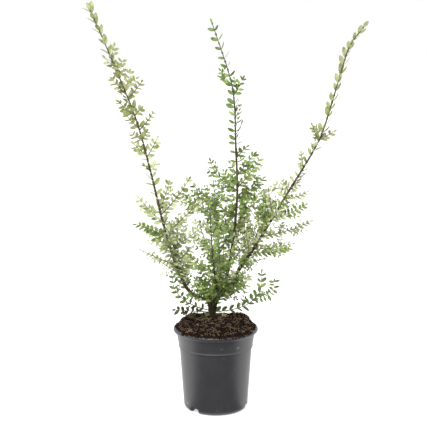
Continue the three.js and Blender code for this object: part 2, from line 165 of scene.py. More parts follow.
pot_inside = [
    (BAND_TOP_RADIUS - WALL, lip_foot), (BAND_BOTTOM_RADIUS - WALL, BAND_BOTTOM),
    (BODY_TOP_RADIUS - WALL, BAND_BOTTOM - BAND_STEP),
    (BODY_FOOT_RADIUS - WALL, FOOT_CORNER + 2 * WALL),
    (foot_middle, BASE_RAISE + WALL), (CENTRE_DISC_RADIUS - BASE_SLOPE, BASE_RAISE + WALL),
    (CENTRE_DISC_RADIUS - 3 * BASE_SLOPE, WALL), (0, WALL),
]
pot = place_shape("nursery_pot", spin_profile(pot_outside + pot_inside, POT_STEPS))

notch = bmesh.new()
notch_size = (NOTCH_DEPTH * MM, NOTCH_WIDTH * MM, 2 * NOTCH_HEIGHT * MM, 1)
bmesh.ops.create_cube(notch, size=1, matrix=Matrix.Diagonal(notch_size))
bmesh.ops.translate(notch, verts=notch.verts, vec=(BODY_FOOT_RADIUS * MM, 0, 0))
shoulders = [
    e for e in notch.edges
    if all(v.co.z > 0 for v in e.verts) and abs(e.verts[0].co.x - e.verts[1].co.x) > MM
]
bmesh.ops.bevel(
    notch, geom=shoulders, offset=NOTCH_CORNER * MM, affect="EDGES", segments=4,
    profile=0.5, material=-1,
)
notch_mesh = bpy.data.meshes.new("notch")
notch.to_mesh(notch_mesh)
notch.free()
notches = bmesh.new()
for turn in NOTCH_TURNS:
    notches.from_mesh(notch_mesh)
    notches.verts.ensure_lookup_table()
    bmesh.ops.rotate(
        notches, verts=notches.verts[-len(notch_mesh.vertices):], cent=(0, 0, 0),
        matrix=Matrix.Rotation(math.radians(turn), 3, "Z"),
    )
cutter = place_shape("notch_cutter", notches)
cut = pot.modifiers.new("notches", "BOOLEAN")
cut.operation = "DIFFERENCE"
cut.solver = "EXACT"
cut.object = cutter
pot_cut = bpy.data.meshes.new_from_object(pot.evaluated_get(bpy.context.evaluated_depsgraph_get()))
pot.modifiers.clear()
pot.data = pot_cut
smooth(pot_cut)
bpy.data.objects.remove(cutter)

# Moulded polypropylene: dark grey and half glossy, with a faint grain from the mould,
# a little pale dust that clings to it and a few short scuffs, and a painted highlight: the
# ridge is painted a paler grey. Each scuff's row gives its place on the wall, with its height
# stretched as the scuffs are, and its size.
GRAIN_SIZE = 1.2
DUST_SIZE = 28
SCUFF_SIZE = 5
SCUFF_STRETCH = 2.0
SCUFFS = (
    ((38.3, -55, 124 * SCUFF_STRETCH), 4.2), ((-49.6, -29.7, 15.5 * SCUFF_STRETCH), 5),
    ((10, -66.5, 125 * SCUFF_STRETCH), 2.2),
)
# Painted highlight on the ridge: how much paler grey is mixed in, and where it starts and ends,
# measured from the band's bottom.
RIDGE_HIGHLIGHT = 0.42
HIGHLIGHT_FOOT = (-1.6, -0.6)
HIGHLIGHT_HEAD = (0.9, 1.9)
plastic = new_material("moulded_polypropylene")
place = add_node(plastic, "TexCoord").outputs["Object"]
grain = add_node(
    plastic, "TexNoise", {"Scale": 1 / (GRAIN_SIZE * MM), "Detail": 3.0}, {"Vector": place}
)
dust = add_node(
    plastic, "TexNoise", {"Scale": 1 / (DUST_SIZE * MM), "Detail": 5.0}, {"Vector": place}
)
scuff_place = add_node(plastic, "Mapping", {"Scale": (1.0, 1.0, SCUFF_STRETCH)}, {"Vector": place})
scuffs = add_node(
    plastic, "TexNoise", {"Scale": 1 / (SCUFF_SIZE * MM), "Detail": 2.0},
    {"Vector": scuff_place.outputs["Vector"]},
)
scuffs_so_far = add_node(
    plastic, "MapRange", {"From Min": 0.72, "From Max": 0.8, "To Min": 0.0, "To Max": 0.6},
    {"Value": scuffs.outputs["Fac"]},
).outputs["Result"]
for mark_place, mark_size in SCUFFS:
    away = add_node(
        plastic, "VectorMath", {"operation": "DISTANCE", 1: [c * MM for c in mark_place]},
        {0: scuff_place.outputs["Vector"]},
    )
    mark = add_node(
        plastic, "MapRange",
        {"From Min": mark_size * MM, "From Max": 0.4 * mark_size * MM, "To Max": 0.5},
        {"Value": away.outputs["Value"]},
    )
    broken = add_node(
        plastic, "Math", {"operation": "MULTIPLY"},
        {0: mark.outputs["Result"], 1: dust.outputs["Fac"]},
    )
    scuffs_so_far = add_node(
        plastic, "Math", {"operation": "MAXIMUM"}, {0: scuffs_so_far, 1: broken.outputs["Value"]}
    ).outputs["Value"]
dusty = add_node(
    plastic, "Mix", {"data_type": "RGBA", 6: hex_colour("#29292b"), 7: hex_colour("#333336")},
    {"Factor": dust.outputs["Fac"]},
)
pot_height = add_node(plastic, "SeparateXYZ", None, {"Vector": place}).outputs["Z"]
highlight_start, highlight_full, highlight_less, highlight_end = (
    (BAND_BOTTOM + height) * MM for height in (*HIGHLIGHT_FOOT, *HIGHLIGHT_HEAD)
)
# Painted highlight: the ridge's paler grey rises in and falls away by height.
highlight_rise = add_node(
    plastic, "MapRange", {"From Min": highlight_start, "From Max": highlight_full, "To Max": RIDGE_HIGHLIGHT},
    {"Value": pot_height},
)
painted_ridge_highlight = add_node(
    plastic, "MapRange", {"From Min": highlight_less, "From Max": highlight_end, "To Max": 0.0},
    {"Value": pot_height, "To Min": highlight_rise.outputs["Result"]},
)
ridge_lit = add_node(
    plastic, "Mix", {"data_type": "RGBA", 7: hex_colour("#57565b")},
    {"Factor": painted_ridge_highlight.outputs["Result"], 6: dusty.outputs[2]},
)
scuffed = add_node(
    plastic, "Mix", {"data_type": "RGBA", 7: hex_colour("#9a9b9d")},
    {"Factor": scuffs_so_far, 6: ridge_lit.outputs[2]},
)
pot_sheen = add_node(
    plastic, "MapRange", {"To Min": 0.4, "To Max": 0.52}, {"Value": dust.outputs["Fac"]}
)
pot_bump = add_node(
    plastic, "Bump", {"Strength": 0.12, "Distance": 0.1 * MM}, {"Height": grain.outputs["Fac"]}
)
pot_surface = add_node(
    plastic, "BsdfPrincipled",
    {"IOR": 1.49, "Specular IOR Level": 0.75, "Sheen Weight": 0.3, "Sheen Roughness": 0.3},
    {
        "Base Color": scuffed.outputs[2], "Roughness": pot_sheen.outputs["Result"],
        "Normal": pot_bump.outputs["Normal"],
    },
)
add_node(plastic, "OutputMaterial", None, {"Surface": pot_surface.outputs["BSDF"]})
pot.data.materials.clear()
pot.data.materials.append(plastic)
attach(pot, "root")
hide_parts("pot")

# Potting soil: dark moist peat heaped a little over the rim, broken up by crumbs and by
# pale coir fibres that lie loose on it. It is filled in by hand and pressed round the stem.
FIT_GAP = 0.3
SOIL_EDGE_HEIGHT = 141
SOIL_DOME = 15
SOIL_LUMP = 2.2
SOIL_FILL = 5.8
SOIL_SHOULDER = 5.5
# Each heap is where a clod pushes the soil up: its place, its height and its width.
SOIL_HEAPS = ((50, 34, 9, 14), (-45, 38, 7.5, 14), (-60, 8, 2, 12))
EDGE_LOSS = 0.6
LUMP_WIDTH = 6.3
LUMP_DEPTH = 5.1
CRUMB_WIDTH = 3.3
CRUMB_SHARE = 0.5
CLOD_WIDTH = 7
CLOD_HEIGHT = 3.0
GRIT_WIDTH = 2.2
GRIT_HEIGHT = 3.0
SOIL_LEVEL_RADIUS = 20
SOIL_BLEND_RADIUS = 36
TRUNK_FOOT = (-6, 24, 156.7)
SOIL_STEPS = 180
SOIL_RINGS = 56
SOIL_SHARP_ANGLE = 60
SOIL_SEED = 11


def seeded(seed):
    """Repeatable random numbers from 0 to 1."""
    value = seed
    while True:
        value = (value * 1664525 + 1013904223) % 4294967296
        yield value / 4294967296


def soil_height(x, y):
    """The height of the heaped soil, before its crumbs."""
    outward = min(1, math.hypot(x, y) / BAND_TOP_RADIUS)
    dome = (SOIL_DOME - SOIL_FILL - SOIL_SHOULDER) * (1 - outward ** 2)
    shoulder = SOIL_SHOULDER * (1 - outward ** 8)
    lump = math.sin(x / LUMP_WIDTH) * math.cos(y / LUMP_DEPTH)
    crumb = CRUMB_SHARE * math.sin((x + y) / CRUMB_WIDTH)
    heaps = sum(
        high * math.exp(-((x - a) ** 2 + (y - b) ** 2) / (2 * wide * wide))
        for a, b, high, wide in SOIL_HEAPS
    )
    bumps = SOIL_LUMP * (lump + crumb) * (1 - outward ** 8)
    bumps += heaps * (1 - EDGE_LOSS * outward ** 12)
    natural = SOIL_EDGE_HEIGHT + SOIL_FILL + dome + shoulder + bumps
    from_trunk = math.hypot(x - TRUNK_FOOT[0], y - TRUNK_FOOT[1])
    share = (from_trunk - SOIL_LEVEL_RADIUS) / (SOIL_BLEND_RADIUS - SOIL_LEVEL_RADIUS)
    share = min(1, max(0, share))
    apart = share * share * (3 - 2 * share)
    return (TRUNK_FOOT[2] - FIT_GAP) * (1 - apart) + natural * apart


def clod(x, y):
    """How far the clods push the soil up or down, before their height."""
    return noise.fractal(Vector((x, y, 0)) / CLOD_WIDTH, 1.0, 2.0, 3)


soil_edge = BAND_TOP_RADIUS + 1.2
soil_side = [
    (0, BASE_RAISE + WALL + FIT_GAP), (foot_middle - FIT_GAP, BASE_RAISE + WALL + FIT_GAP),
    (BODY_FOOT_RADIUS - WALL - FIT_GAP, FOOT_CORNER + 2 * WALL),
    (BODY_TOP_RADIUS - WALL - FIT_GAP, BAND_BOTTOM - BAND_STEP),
    (BAND_BOTTOM_RADIUS - WALL - FIT_GAP, BAND_BOTTOM),
    (BAND_TOP_RADIUS - WALL - FIT_GAP, lip_foot),
]
soil_top = [(soil_edge * (1 - i / SOIL_RINGS), POT_TOP) for i in range(SOIL_RINGS + 1)]
soil_shape = spin_profile(soil_side + soil_top, SOIL_STEPS)
for v in soil_shape.verts:
    if v.co.z > (POT_TOP - 1) * MM:
        x, y = v.co.x / MM, v.co.y / MM
        outward = math.hypot(x, y) / soil_edge
        grit = abs(noise.noise(Vector((x, y, 40)) / GRIT_WIDTH))
        broken = (CLOD_HEIGHT * clod(x, y) + GRIT_HEIGHT * grit) * (1 - EDGE_LOSS * outward ** 10)
        v.co.z = (soil_height(x, y) + broken) * MM
soil = place_shape("potting_soil", soil_shape, SOIL_SHARP_ANGLE)


def peat_material(name, dark, light, warm, roughness):
    """Peat: a crumbly mix of nearly black and brown bits with rusty patches."""
    material = new_material(name)
    place = add_node(material, "TexCoord").outputs["Object"]
    bits = add_node(
        material, "TexNoise", {"Scale": 1 / (2.5 * MM), "Detail": 6.0, "Roughness": 0.7},
        {"Vector": place},
    )
    patches = add_node(
        material, "TexNoise", {"Scale": 1 / (16 * MM), "Detail": 3.0}, {"Vector": place}
    )
    patch_share = add_node(
        material, "MapRange", {"From Min": 0.48, "From Max": 0.62, "To Max": 0.8},
        {"Value": patches.outputs["Fac"]},
    )
    bit_share = add_node(
        material, "MapRange", {"From Min": 0.35, "From Max": 0.68}, {"Value": bits.outputs["Fac"]}
    )
    brown = add_node(
        material, "Mix", {"data_type": "RGBA", 6: hex_colour(dark), 7: hex_colour(light)},
        {"Factor": bit_share.outputs["Result"]},
    )
    rusty = add_node(
        material, "Mix", {"data_type": "RGBA", 7: hex_colour(warm)},
        {"Factor": patch_share.outputs["Result"], 6: brown.outputs[2]},
    )
    bump = add_node(
        material, "Bump", {"Strength": 0.8, "Distance": 0.8 * MM}, {"Height": bits.outputs["Fac"]}
    )
    surface = add_node(
        material, "BsdfPrincipled", {"Roughness": roughness, "Specular IOR Level": 0.05},
        {"Base Color": rusty.outputs[2], "Normal": bump.outputs["Normal"]},
    )
    add_node(material, "OutputMaterial", None, {"Surface": surface.outputs["BSDF"]})
    return material


soil.data.materials.append(peat_material("moist_peat", "#080504", "#281b13", "#24111a", 0.95))
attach(soil, "root")
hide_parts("soil")

# Crumbs: broken bits of peat and bark that lie on the soil, some fallen on to the rim.
# Each is a small rough ball, a little flattened, and the first of them are bark chips.
CRUMB_COUNT = 2600
CHIP_SHARE = 0.14
CRUMB_ROUGHNESS = (0.65, 1.25)
CRUMB_SIZE = (0.7, 3.7)
CRUMB_FLATNESS = 0.7
CRUMB_RAISE = 0.9
SPILT_CRUMBS = 420
SPILT_SIZE = (0.5, 2.0)
SPILL_TURN = 272
SPILL_FAN = 115
SPILL_DEPTH = 1.3


def place_arrays(name, corners, faces, material):
    """Joined small shapes as one object: corners in millimetres and faces as arrays."""
    mesh = bpy.data.meshes.new(name)
    mesh.from_pydata((np.asarray(corners) * MM).tolist(), [], np.asarray(faces).tolist())
    mesh.shade_smooth()
    mesh.materials.append(material)
    return add_object(name, mesh)


def copies(corners, faces, moved):
    """Joins copies of one small shape: moved holds the corners of each copy."""
    moved = np.asarray(moved)
    starts = (np.arange(len(moved)) * len(corners))[:, None, None]
    return moved.reshape(-1, 3), (np.asarray(faces)[None] + starts).reshape(-1, len(faces[0]))


def template(shape):
    """The corners and triangles of a bmesh, as arrays."""
    bmesh.ops.triangulate(shape, faces=shape.faces)
    shape.verts.index_update()
    corners = np.array([v.co[:] for v in shape.verts])
    faces = np.array([[v.index for v in f.verts] for f in shape.faces])
    shape.free()
    return corners, faces


crumb_shape = bmesh.new()
bmesh.ops.create_icosphere(crumb_shape, subdivisions=1, radius=1)
crumb_corners, crumb_faces = template(crumb_shape)
chance = np.random.default_rng(SOIL_SEED)


def between(ends, share):
    """The value at a share of the way from the first end to the second."""
    return ends[0] + (ends[1] - ends[0]) * share


def rough_crumb():
    return crumb_corners * between(CRUMB_ROUGHNESS, chance.random((len(crumb_corners), 1)))


def place_on_soil(reach):
    """A place by chance on the soil, and how far out it lies."""
    angle, outward = chance.random() * 2 * math.pi, math.sqrt(chance.random())
    return reach * outward * math.cos(angle), reach * outward * math.sin(angle), outward


crumbs = []
for _ in range(CRUMB_COUNT):
    x, y, outward = place_on_soil(soil_edge)
    size = between(CRUMB_SIZE, chance.random() ** 3)
    rough = rough_crumb()
    flat = rough * (size * np.array([1 + 0.5 * chance.random(), 1, CRUMB_FLATNESS]))
    turn = np.array(Matrix.Rotation(chance.random() * math.pi, 3, "Z"))
    lift = soil_height(x, y) + 2 * clod(x, y) + CRUMB_RAISE * (1 - outward ** 10)
    crumbs.append(flat @ turn + [x, y, lift])
for _ in range(SPILT_CRUMBS):
    angle = math.radians(SPILL_TURN + SPILL_FAN * (chance.random() - 0.5))
    outward = POT_RIM_RADIUS - SPILL_DEPTH * lip_radius * (1 - chance.random() ** 1.8)
    size = between(SPILT_SIZE, chance.random() ** 2)
    from_crest = outward - POT_RIM_RADIUS + lip_radius
    drop = lip_radius - math.sqrt(max(0, lip_radius ** 2 - from_crest ** 2))
    x, y = outward * math.cos(angle), outward * math.sin(angle)
    crumbs.append(rough_crumb() * size + [x, y, POT_TOP - drop + 0.3 * size])
chip_count = round(CRUMB_COUNT * CHIP_SHARE)
# Crumbs of drier peat, a shade lighter than the soil, and dull pale chips of weathered bark.
PEAT_BITS = ("broken_peat", "#0b0705", "#34261b", "#26151a", 0.95)
BARK_BITS = ("weathered_bark_chip", "#3a2c1e", "#7e6b4c", "#5a4a35", 0.9)
for name, placed, finish in (
    ("soil_crumbs", crumbs[chip_count:], PEAT_BITS), ("bark_chips", crumbs[:chip_count], BARK_BITS),
):
    bits = place_arrays(name, *copies(crumb_corners, crumb_faces, placed), peat_material(*finish))
    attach(bits, "root")

# Coir fibres: short pale brown strands of coconut husk, curled on top of the soil. A strand
# that comes near the soil's edge turns inward.
FIBRE_COUNT = 340
FIBRE_POINTS = 9
FIBRE_ROOM = 3
FIBRE_REACH = 4
FIBRE_STEP = (0.9, 2.2)
FIBRE_CURL = 0.6
FIBRE_STRAY = 0.3
FIBRE_ARCH = 1.6
FIBRE_RAISE = 1.2
FIBRE_RADIUS = (0.14, 0.38)


def thin_rods(paths, radii):
    """Four-sided rods along paths that all have the same number of points."""
    paths, radii = np.asarray(paths, float), np.asarray(radii, float)
    count, points = radii.shape
    along = np.gradient(paths, axis=1)
    along /= np.linalg.norm(along, axis=2, keepdims=True)
    axes = np.eye(3)[np.argmin(np.abs(along[:, 0]), axis=1)][:, None]
    across = axes - along * (along * axes).sum(2, keepdims=True)
    across /= np.linalg.norm(across, axis=2, keepdims=True)
    beside = np.cross(along, across)
    turns = np.radians([0, 90, 180, 270])
    ring = across[:, :, None] * np.cos(turns)[:, None] + beside[:, :, None] * np.sin(turns)[:, None]
    corners = paths[:, :, None] + ring * radii[:, :, None, None]
    side, beyond = np.arange(4), (np.arange(4) + 1) % 4
    lower = (np.arange(points - 1) * 4)[:, None]
    walls = np.stack([lower + side, lower + beyond, lower + 4 + beyond, lower + 4 + side], 2)
    last = (points - 1) * 4
    caps = [[3, 2, 1, 0], [last, last + 1, last + 2, last + 3]]
    faces = np.concatenate([walls.reshape(-1, 4), caps])
    starts = (np.arange(count) * points * 4)[:, None, None]
    return corners.reshape(-1, 3), (faces[None] + starts).reshape(-1, 4)


def drifting_material(name, size, colours, finish, span=(0, 1)):
    """Two colours that drift into each other over a size in millimetres: the share of the
    noise between the ends of span runs from one colour to the other."""
    material = new_material(name)
    place = add_node(material, "TexCoord").outputs["Object"]
    drift = add_node(
        material, "TexNoise", {"Scale": 1 / (size * MM), "Detail": 2.0}, {"Vector": place}
    )
    share = add_node(
        material, "MapRange", {"From Min": span[0], "From Max": span[1]},
        {"Value": drift.outputs["Fac"]},
    )
    first, second = colours
    colour = add_node(
        material, "Mix", {"data_type": "RGBA", 6: hex_colour(first), 7: hex_colour(second)},
        {"Factor": share.outputs["Result"]},
    )
    surface = add_node(material, "BsdfPrincipled", finish, {"Base Color": colour.outputs[2]})
    add_node(material, "OutputMaterial", None, {"Surface": surface.outputs["BSDF"]})
    return material


fibres, fibre_radii = [], []
for _ in range(FIBRE_COUNT):
    x, y, _ = place_on_soil(soil_edge - FIBRE_REACH)
    heading, curl = chance.random() * 2 * math.pi, (chance.random() - 0.5) * FIBRE_CURL
    step = between(FIBRE_STEP, chance.random())
    strand = []
    for i in range(FIBRE_POINTS):
        if math.hypot(x, y) > soil_edge - FIBRE_ROOM:
            heading = math.atan2(-y, -x)
        x, y = x + step * math.cos(heading), y + step * math.sin(heading)
        heading += curl + FIBRE_STRAY * (chance.random() - 0.5)
        arch = FIBRE_ARCH * math.sin(math.pi * i / (FIBRE_POINTS - 1))
        lift = soil_height(x, y) + 2 * clod(x, y)
        strand.append((x, y, lift + FIBRE_RAISE + arch + 0.02 * i))
    fibres.append(strand)
    fibre_radii.append([between(FIBRE_RADIUS, chance.random())] * FIBRE_POINTS)
# Coconut husk: dull and dry, dark and pale brown by turns.
coir = drifting_material("coir_fibre", 9, ("#2f251b", "#938368"), {"Roughness": 0.8})
fibre_piece = place_arrays("coir_fibres", *thin_rods(fibres, fibre_radii), coir)
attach(fibre_piece, "root")

# Trunk: one short woody stem under thin grey-brown bark that splits into long fine strips.
# It flares at the soil and ends in a fork, where the leaders and boughs leave it.
TRUNK_FORK = (-2.5, 24, 190)
TRUNK_RADIUS = 5.6
FLARE_RADIUS = 8.4
FLARE_HEIGHT = 4
TRUNK_UPRIGHT = 0.12
TRUNK_STATIONS = 46
LIMB_STEP = 18
LIMB_TAPER = 1.5
# Each limb's route, its radius at foot and tip, the share of its length that is bare wood,
# and how far along its leafy tip the tip's twigs stand.
LIMBS = {
    "leader_left": {
        "route": [(-3, 24, 187), (-44, 23, 202), (-69, 21, 250), (-93, 19, 331), (-113, 17, 418),
                  (-136, 12, 508), (-173, 6, 605), (-212, 0, 698)],
        "foot": 3.4, "tip": 0.8, "bare": 0.77, "tip_twigs": (0.08, 0.2, 0.33),
    },
    "leader_centre": {
        "route": [(-1, 24, 186), (18, 26, 225), (30, 30, 290), (38, 33, 378), (35, 35, 470),
                  (33, 34, 531), (25, 33, 583), (-7, 30, 678)],
        "foot": 3.3, "tip": 0.8, "bare": 0.7, "tip_twigs": (0.12, 0.26),
    },
    "leader_right": {
        "route": [(0, 24, 186), (27, 26, 222), (75, 29, 294), (123, 33, 374), (173, 38, 457),
                  (192, 41, 501), (219, 46, 593), (233, 49, 637), (257, 52, 670)],
        "foot": 3.4, "tip": 0.8, "bare": 0.77, "tip_twigs": (),
    },
    "bough_front": {
        "route": [(4, 24, 196), (0, -4, 228), (-6, -44, 290), (-10, -74, 372)],
        "foot": 2.4, "tip": 0.8, "bare": 0.5, "tip_twigs": (0.1, 0.25, 0.4),
    },
    "bough_back": {
        "route": [(4, 25, 198), (8, 58, 232), (4, 96, 300), (-4, 122, 386)],
        "foot": 2.4, "tip": 0.8, "bare": 0.5, "tip_twigs": (0.1, 0.25, 0.4),
    },
}
TRUNK_SIDES = 40
TRUNK_RELIEF = 1.1
STRIP_WIDTH = 1.6
STRIP_LENGTH = 14
WOOD_SHARP_ANGLE = 80


def smooth_curve(route, shares):
    """Points at shares of the length of a smooth curve through a route, and its length."""
    route = np.asarray(route, float)
    ends = np.vstack([2 * route[0] - route[1], route, 2 * route[-1] - route[-2]])

    def point(t):
        i = np.minimum(np.floor(t * (len(route) - 1)).astype(int), len(route) - 2)
        w = (t * (len(route) - 1) - i)[:, None]
        before, start, end, after = ends[i], ends[i + 1], ends[i + 2], ends[i + 3]
        leave, arrive = 0.5 * (end - before), 0.5 * (after - start)
        square = -3 * start + 3 * end - 2 * leave - arrive
        cube = 2 * start - 2 * end + leave + arrive
        return start + leave * w + square * w ** 2 + cube * w ** 3

    even = np.linspace(0, 1, 201)
    dots = point(even)
    run = np.concatenate([[0], np.cumsum(np.linalg.norm(np.diff(dots, axis=0), axis=1))])
    return point(np.interp(np.asarray(shares) * run[-1], run, even)), run[-1]


def limb_radius(limb, share):
    return between((limb["tip"], limb["foot"]), (1 - share) ** LIMB_TAPER)


for limb in LIMBS.values():
    bare = limb["bare"]
    _, whole = smooth_curve(limb["route"], [0])
    limb["whole"] = whole
    steps = round(whole * bare / LIMB_STEP)
    shares = bare * np.arange(steps + 1) / steps
    limb["path"] = smooth_curve(limb["route"], shares)[0]
    limb["radii"] = limb_radius(limb, shares)
    stem_start = bare + FIT_GAP / whole
    stem_steps = round(whole * (1 - stem_start) / LIMB_STEP)
    stem_shares = stem_start + (1 - stem_start) * np.arange(stem_steps + 1) / stem_steps
    limb["stem"] = smooth_curve(limb["route"], stem_shares)[0]

trunk_shares = np.linspace(0, 1, TRUNK_STATIONS)
trunk_rise = TRUNK_FORK[2] - TRUNK_FOOT[2]
trunk_lean = np.clip((trunk_shares - TRUNK_UPRIGHT) / (1 - TRUNK_UPRIGHT), 0, 1)[:, None]
trunk_path = np.array(TRUNK_FOOT) * (1 - trunk_lean) + np.array(TRUNK_FORK) * trunk_lean
trunk_path[:, 2] = TRUNK_FOOT[2] + trunk_rise * trunk_shares
trunk_flare = (FLARE_RADIUS - TRUNK_RADIUS) * np.exp(-trunk_shares * trunk_rise / FLARE_HEIGHT)
trunk_narrowing = np.interp(trunk_shares, [0, 0.8, 0.93, 1], [1, 1, 0.85, 0.5])
trunk_radii = (TRUNK_RADIUS + trunk_flare) * trunk_narrowing


def place_wood(name, path, radii, sides, relief):
    """A round limb with the bark's strips raised on it, extruded ring by ring."""
    shape = bmesh.new()
    along = np.gradient(path, axis=0)
    across = Vector((0, 1, 0))
    stations = []
    for centre, direction in zip(path, along):
        ahead = Vector(direction).normalized()
        across = (across - ahead * across.dot(ahead)).normalized()
        turn = Matrix((across, ahead.cross(across), ahead)).transposed().to_4x4()
        stations.append(Matrix.Translation(Vector(centre) * MM) @ turn)
    made = bmesh.ops.create_circle(
        shape, cap_ends=True, segments=sides, radius=radii[0] * MM, matrix=stations[0]
    )
    ring = list({e for v in made["verts"] for e in v.link_edges})
    for i in range(1, len(path)):
        made = bmesh.ops.extrude_edge_only(shape, edges=ring)["geom"]
        ring = [e for e in made if isinstance(e, bmesh.types.BMEdge)]
        moved = [v for v in made if isinstance(v, bmesh.types.BMVert)]
        size = radii[i] / radii[i - 1]
        move = stations[i] @ Matrix.Diagonal((size, size, 1, 1)) @ stations[i - 1].inverted()
        bmesh.ops.transform(shape, matrix=move, verts=moved)
    bmesh.ops.contextual_create(shape, geom=ring)
    bmesh.ops.recalc_face_normals(shape, faces=shape.faces)
    shape.normal_update()
    for v in shape.verts:
        x, y, z = v.co.x / STRIP_WIDTH, v.co.y / STRIP_WIDTH, v.co.z / STRIP_LENGTH
        v.co += v.normal * relief * MM * noise.fractal(Vector((x, y, z)) / MM, 0.8, 2.0, 3)
    wood = place_shape(name, shape, WOOD_SHARP_ANGLE)
    wood.data.materials.append(old_bark)
    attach(wood, "root")
    return wood


# Bark: dull grey-brown, in lengthwise strips of two browns. The same noise sinks the clefts
# between them, so they come out darker: a painted shade. It grows darker towards the soil.
BARK_STRIP = 1.5
BARK_STRETCH = 0.12
DARKENING_TOP = 205
DARKENING_FULL = 172
old_bark = new_material("old_bark")
place = add_node(old_bark, "TexCoord").outputs["Object"]
strip_place = add_node(
    old_bark, "Mapping", {"Scale": (1.0, 1.0, BARK_STRETCH)}, {"Vector": place}
)
strips = add_node(
    old_bark, "TexNoise", {"Scale": 1 / (BARK_STRIP * MM), "Detail": 5.0, "Roughness": 0.65},
    {"Vector": strip_place.outputs["Vector"]},
)
# One noise sets both the bump and the colour, so the sunk clefts get the dark brown: painted shade.
strip_tone_and_cleft_shade = add_node(
    old_bark, "MapRange", {"From Min": 0.35, "From Max": 0.65}, {"Value": strips.outputs["Fac"]}
)
bark_colour = add_node(
    old_bark, "Mix", {"data_type": "RGBA", 6: hex_colour("#1e180e"), 7: hex_colour("#5a4a2c")},
    {"Factor": strip_tone_and_cleft_shade.outputs["Result"]},
)
bark_height = add_node(old_bark, "SeparateXYZ", None, {"Vector": place})
# Darker towards the soil: a near black is mixed in below the fork.
low_darkening_share = add_node(
    old_bark, "MapRange", {"From Min": DARKENING_TOP * MM, "From Max": DARKENING_FULL * MM, "To Max": 0.7},
    {"Value": bark_height.outputs["Z"]},
)
darkened_low_bark = add_node(
    old_bark, "Mix", {"data_type": "RGBA", 7: hex_colour("#15110a")},
    {"Factor": low_darkening_share.outputs["Result"], 6: bark_colour.outputs[2]},
)
bark_bump = add_node(
    old_bark, "Bump", {"Strength": 0.7, "Distance": 0.4 * MM}, {"Height": strips.outputs["Fac"]}
)
bark_surface = add_node(
    old_bark, "BsdfPrincipled", {"Roughness": 0.85, "Specular IOR Level": 0.25},
    {"Base Color": darkened_low_bark.outputs[2], "Normal": bark_bump.outputs["Normal"]},
)
add_node(old_bark, "OutputMaterial", None, {"Surface": bark_surface.outputs["BSDF"]})

trunk_wood = place_wood("trunk_bark", trunk_path, trunk_radii, TRUNK_SIDES, TRUNK_RELIEF)
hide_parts("trunk")

# Old stems: thin shoots that grew up close against the trunk and part from it at the fork.
# Each row gives its compass turn, its foot's height, its top's height and how far it leans.
OLD_STEMS = (
    (192, 158, 214, 18), (232, 158, 211, 13), (268, 160, 206, 9), (345, 168, 214, 14),
    (140, 159, 208, 12),
)
OLD_STEM_RADII = (2.1, 1.1)
OLD_STEM_APART = 5.2
OLD_STEM_DRIFT = 3.5
OLD_STEM_POINTS = 24
OLD_STEM_SIDES = 10
OLD_STEM_RELIEF = 0.3
OLD_STEM_BENDS = (0, 0.35, 0.7, 1)
for i, (turn, low, high, lean) in enumerate(OLD_STEMS):
    out = np.array([math.cos(math.radians(turn)), math.sin(math.radians(turn)), 0])
    shares = np.linspace(0, 1, OLD_STEM_POINTS)
    route = [
        np.array([
            TRUNK_FOOT[0] + OLD_STEM_DRIFT * share, TRUNK_FOOT[1], between((low, high), share)
        ]) + out * (OLD_STEM_APART + lean * share ** 2)
        for share in OLD_STEM_BENDS
    ]
    path = smooth_curve(route, shares)[0]
    radii = between(OLD_STEM_RADII, shares)
    place_wood(f"old_stem_{i + 1}", path, radii, OLD_STEM_SIDES, OLD_STEM_RELIEF)

# Leaders and boughs: the barked part of the five limbs that leave the fork. Each is a little
# thicker at the joints where pairs of leaves once stood.
BARK_STEP = 2.2
LIMB_SIDES = 14
LIMB_RELIEF = 0.25
JOINT_STEP = 9
JOINT_LENGTH = 1.2
JOINT_SWELL = 0.16
for name, limb in LIMBS.items():
    count = round(limb["whole"] * limb["bare"] / BARK_STEP)
    shares = limb["bare"] * np.arange(count + 1) / count
    from_joint = (shares * limb["whole"] + JOINT_STEP / 2) % JOINT_STEP - JOINT_STEP / 2
    swell = 1 + JOINT_SWELL * np.exp(-((np.abs(from_joint) / JOINT_LENGTH) ** 2))
    path = smooth_curve(limb["route"], shares)[0]
    radii = limb_radius(limb, shares) * swell
    wood = place_wood(f"{name}_bark", path, radii, LIMB_SIDES, LIMB_RELIEF)
    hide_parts(name)

# Sprays: each side shoot and each leader's tip is one spray of young wood. Its stem carries
# twigs to either side, these carry finer ones, and leaf pairs stand along them all. What
# would leave the spray's own space, touch a limb or crowd an earlier leaf is skipped.
SEED = 42
SEED_STEP = 97
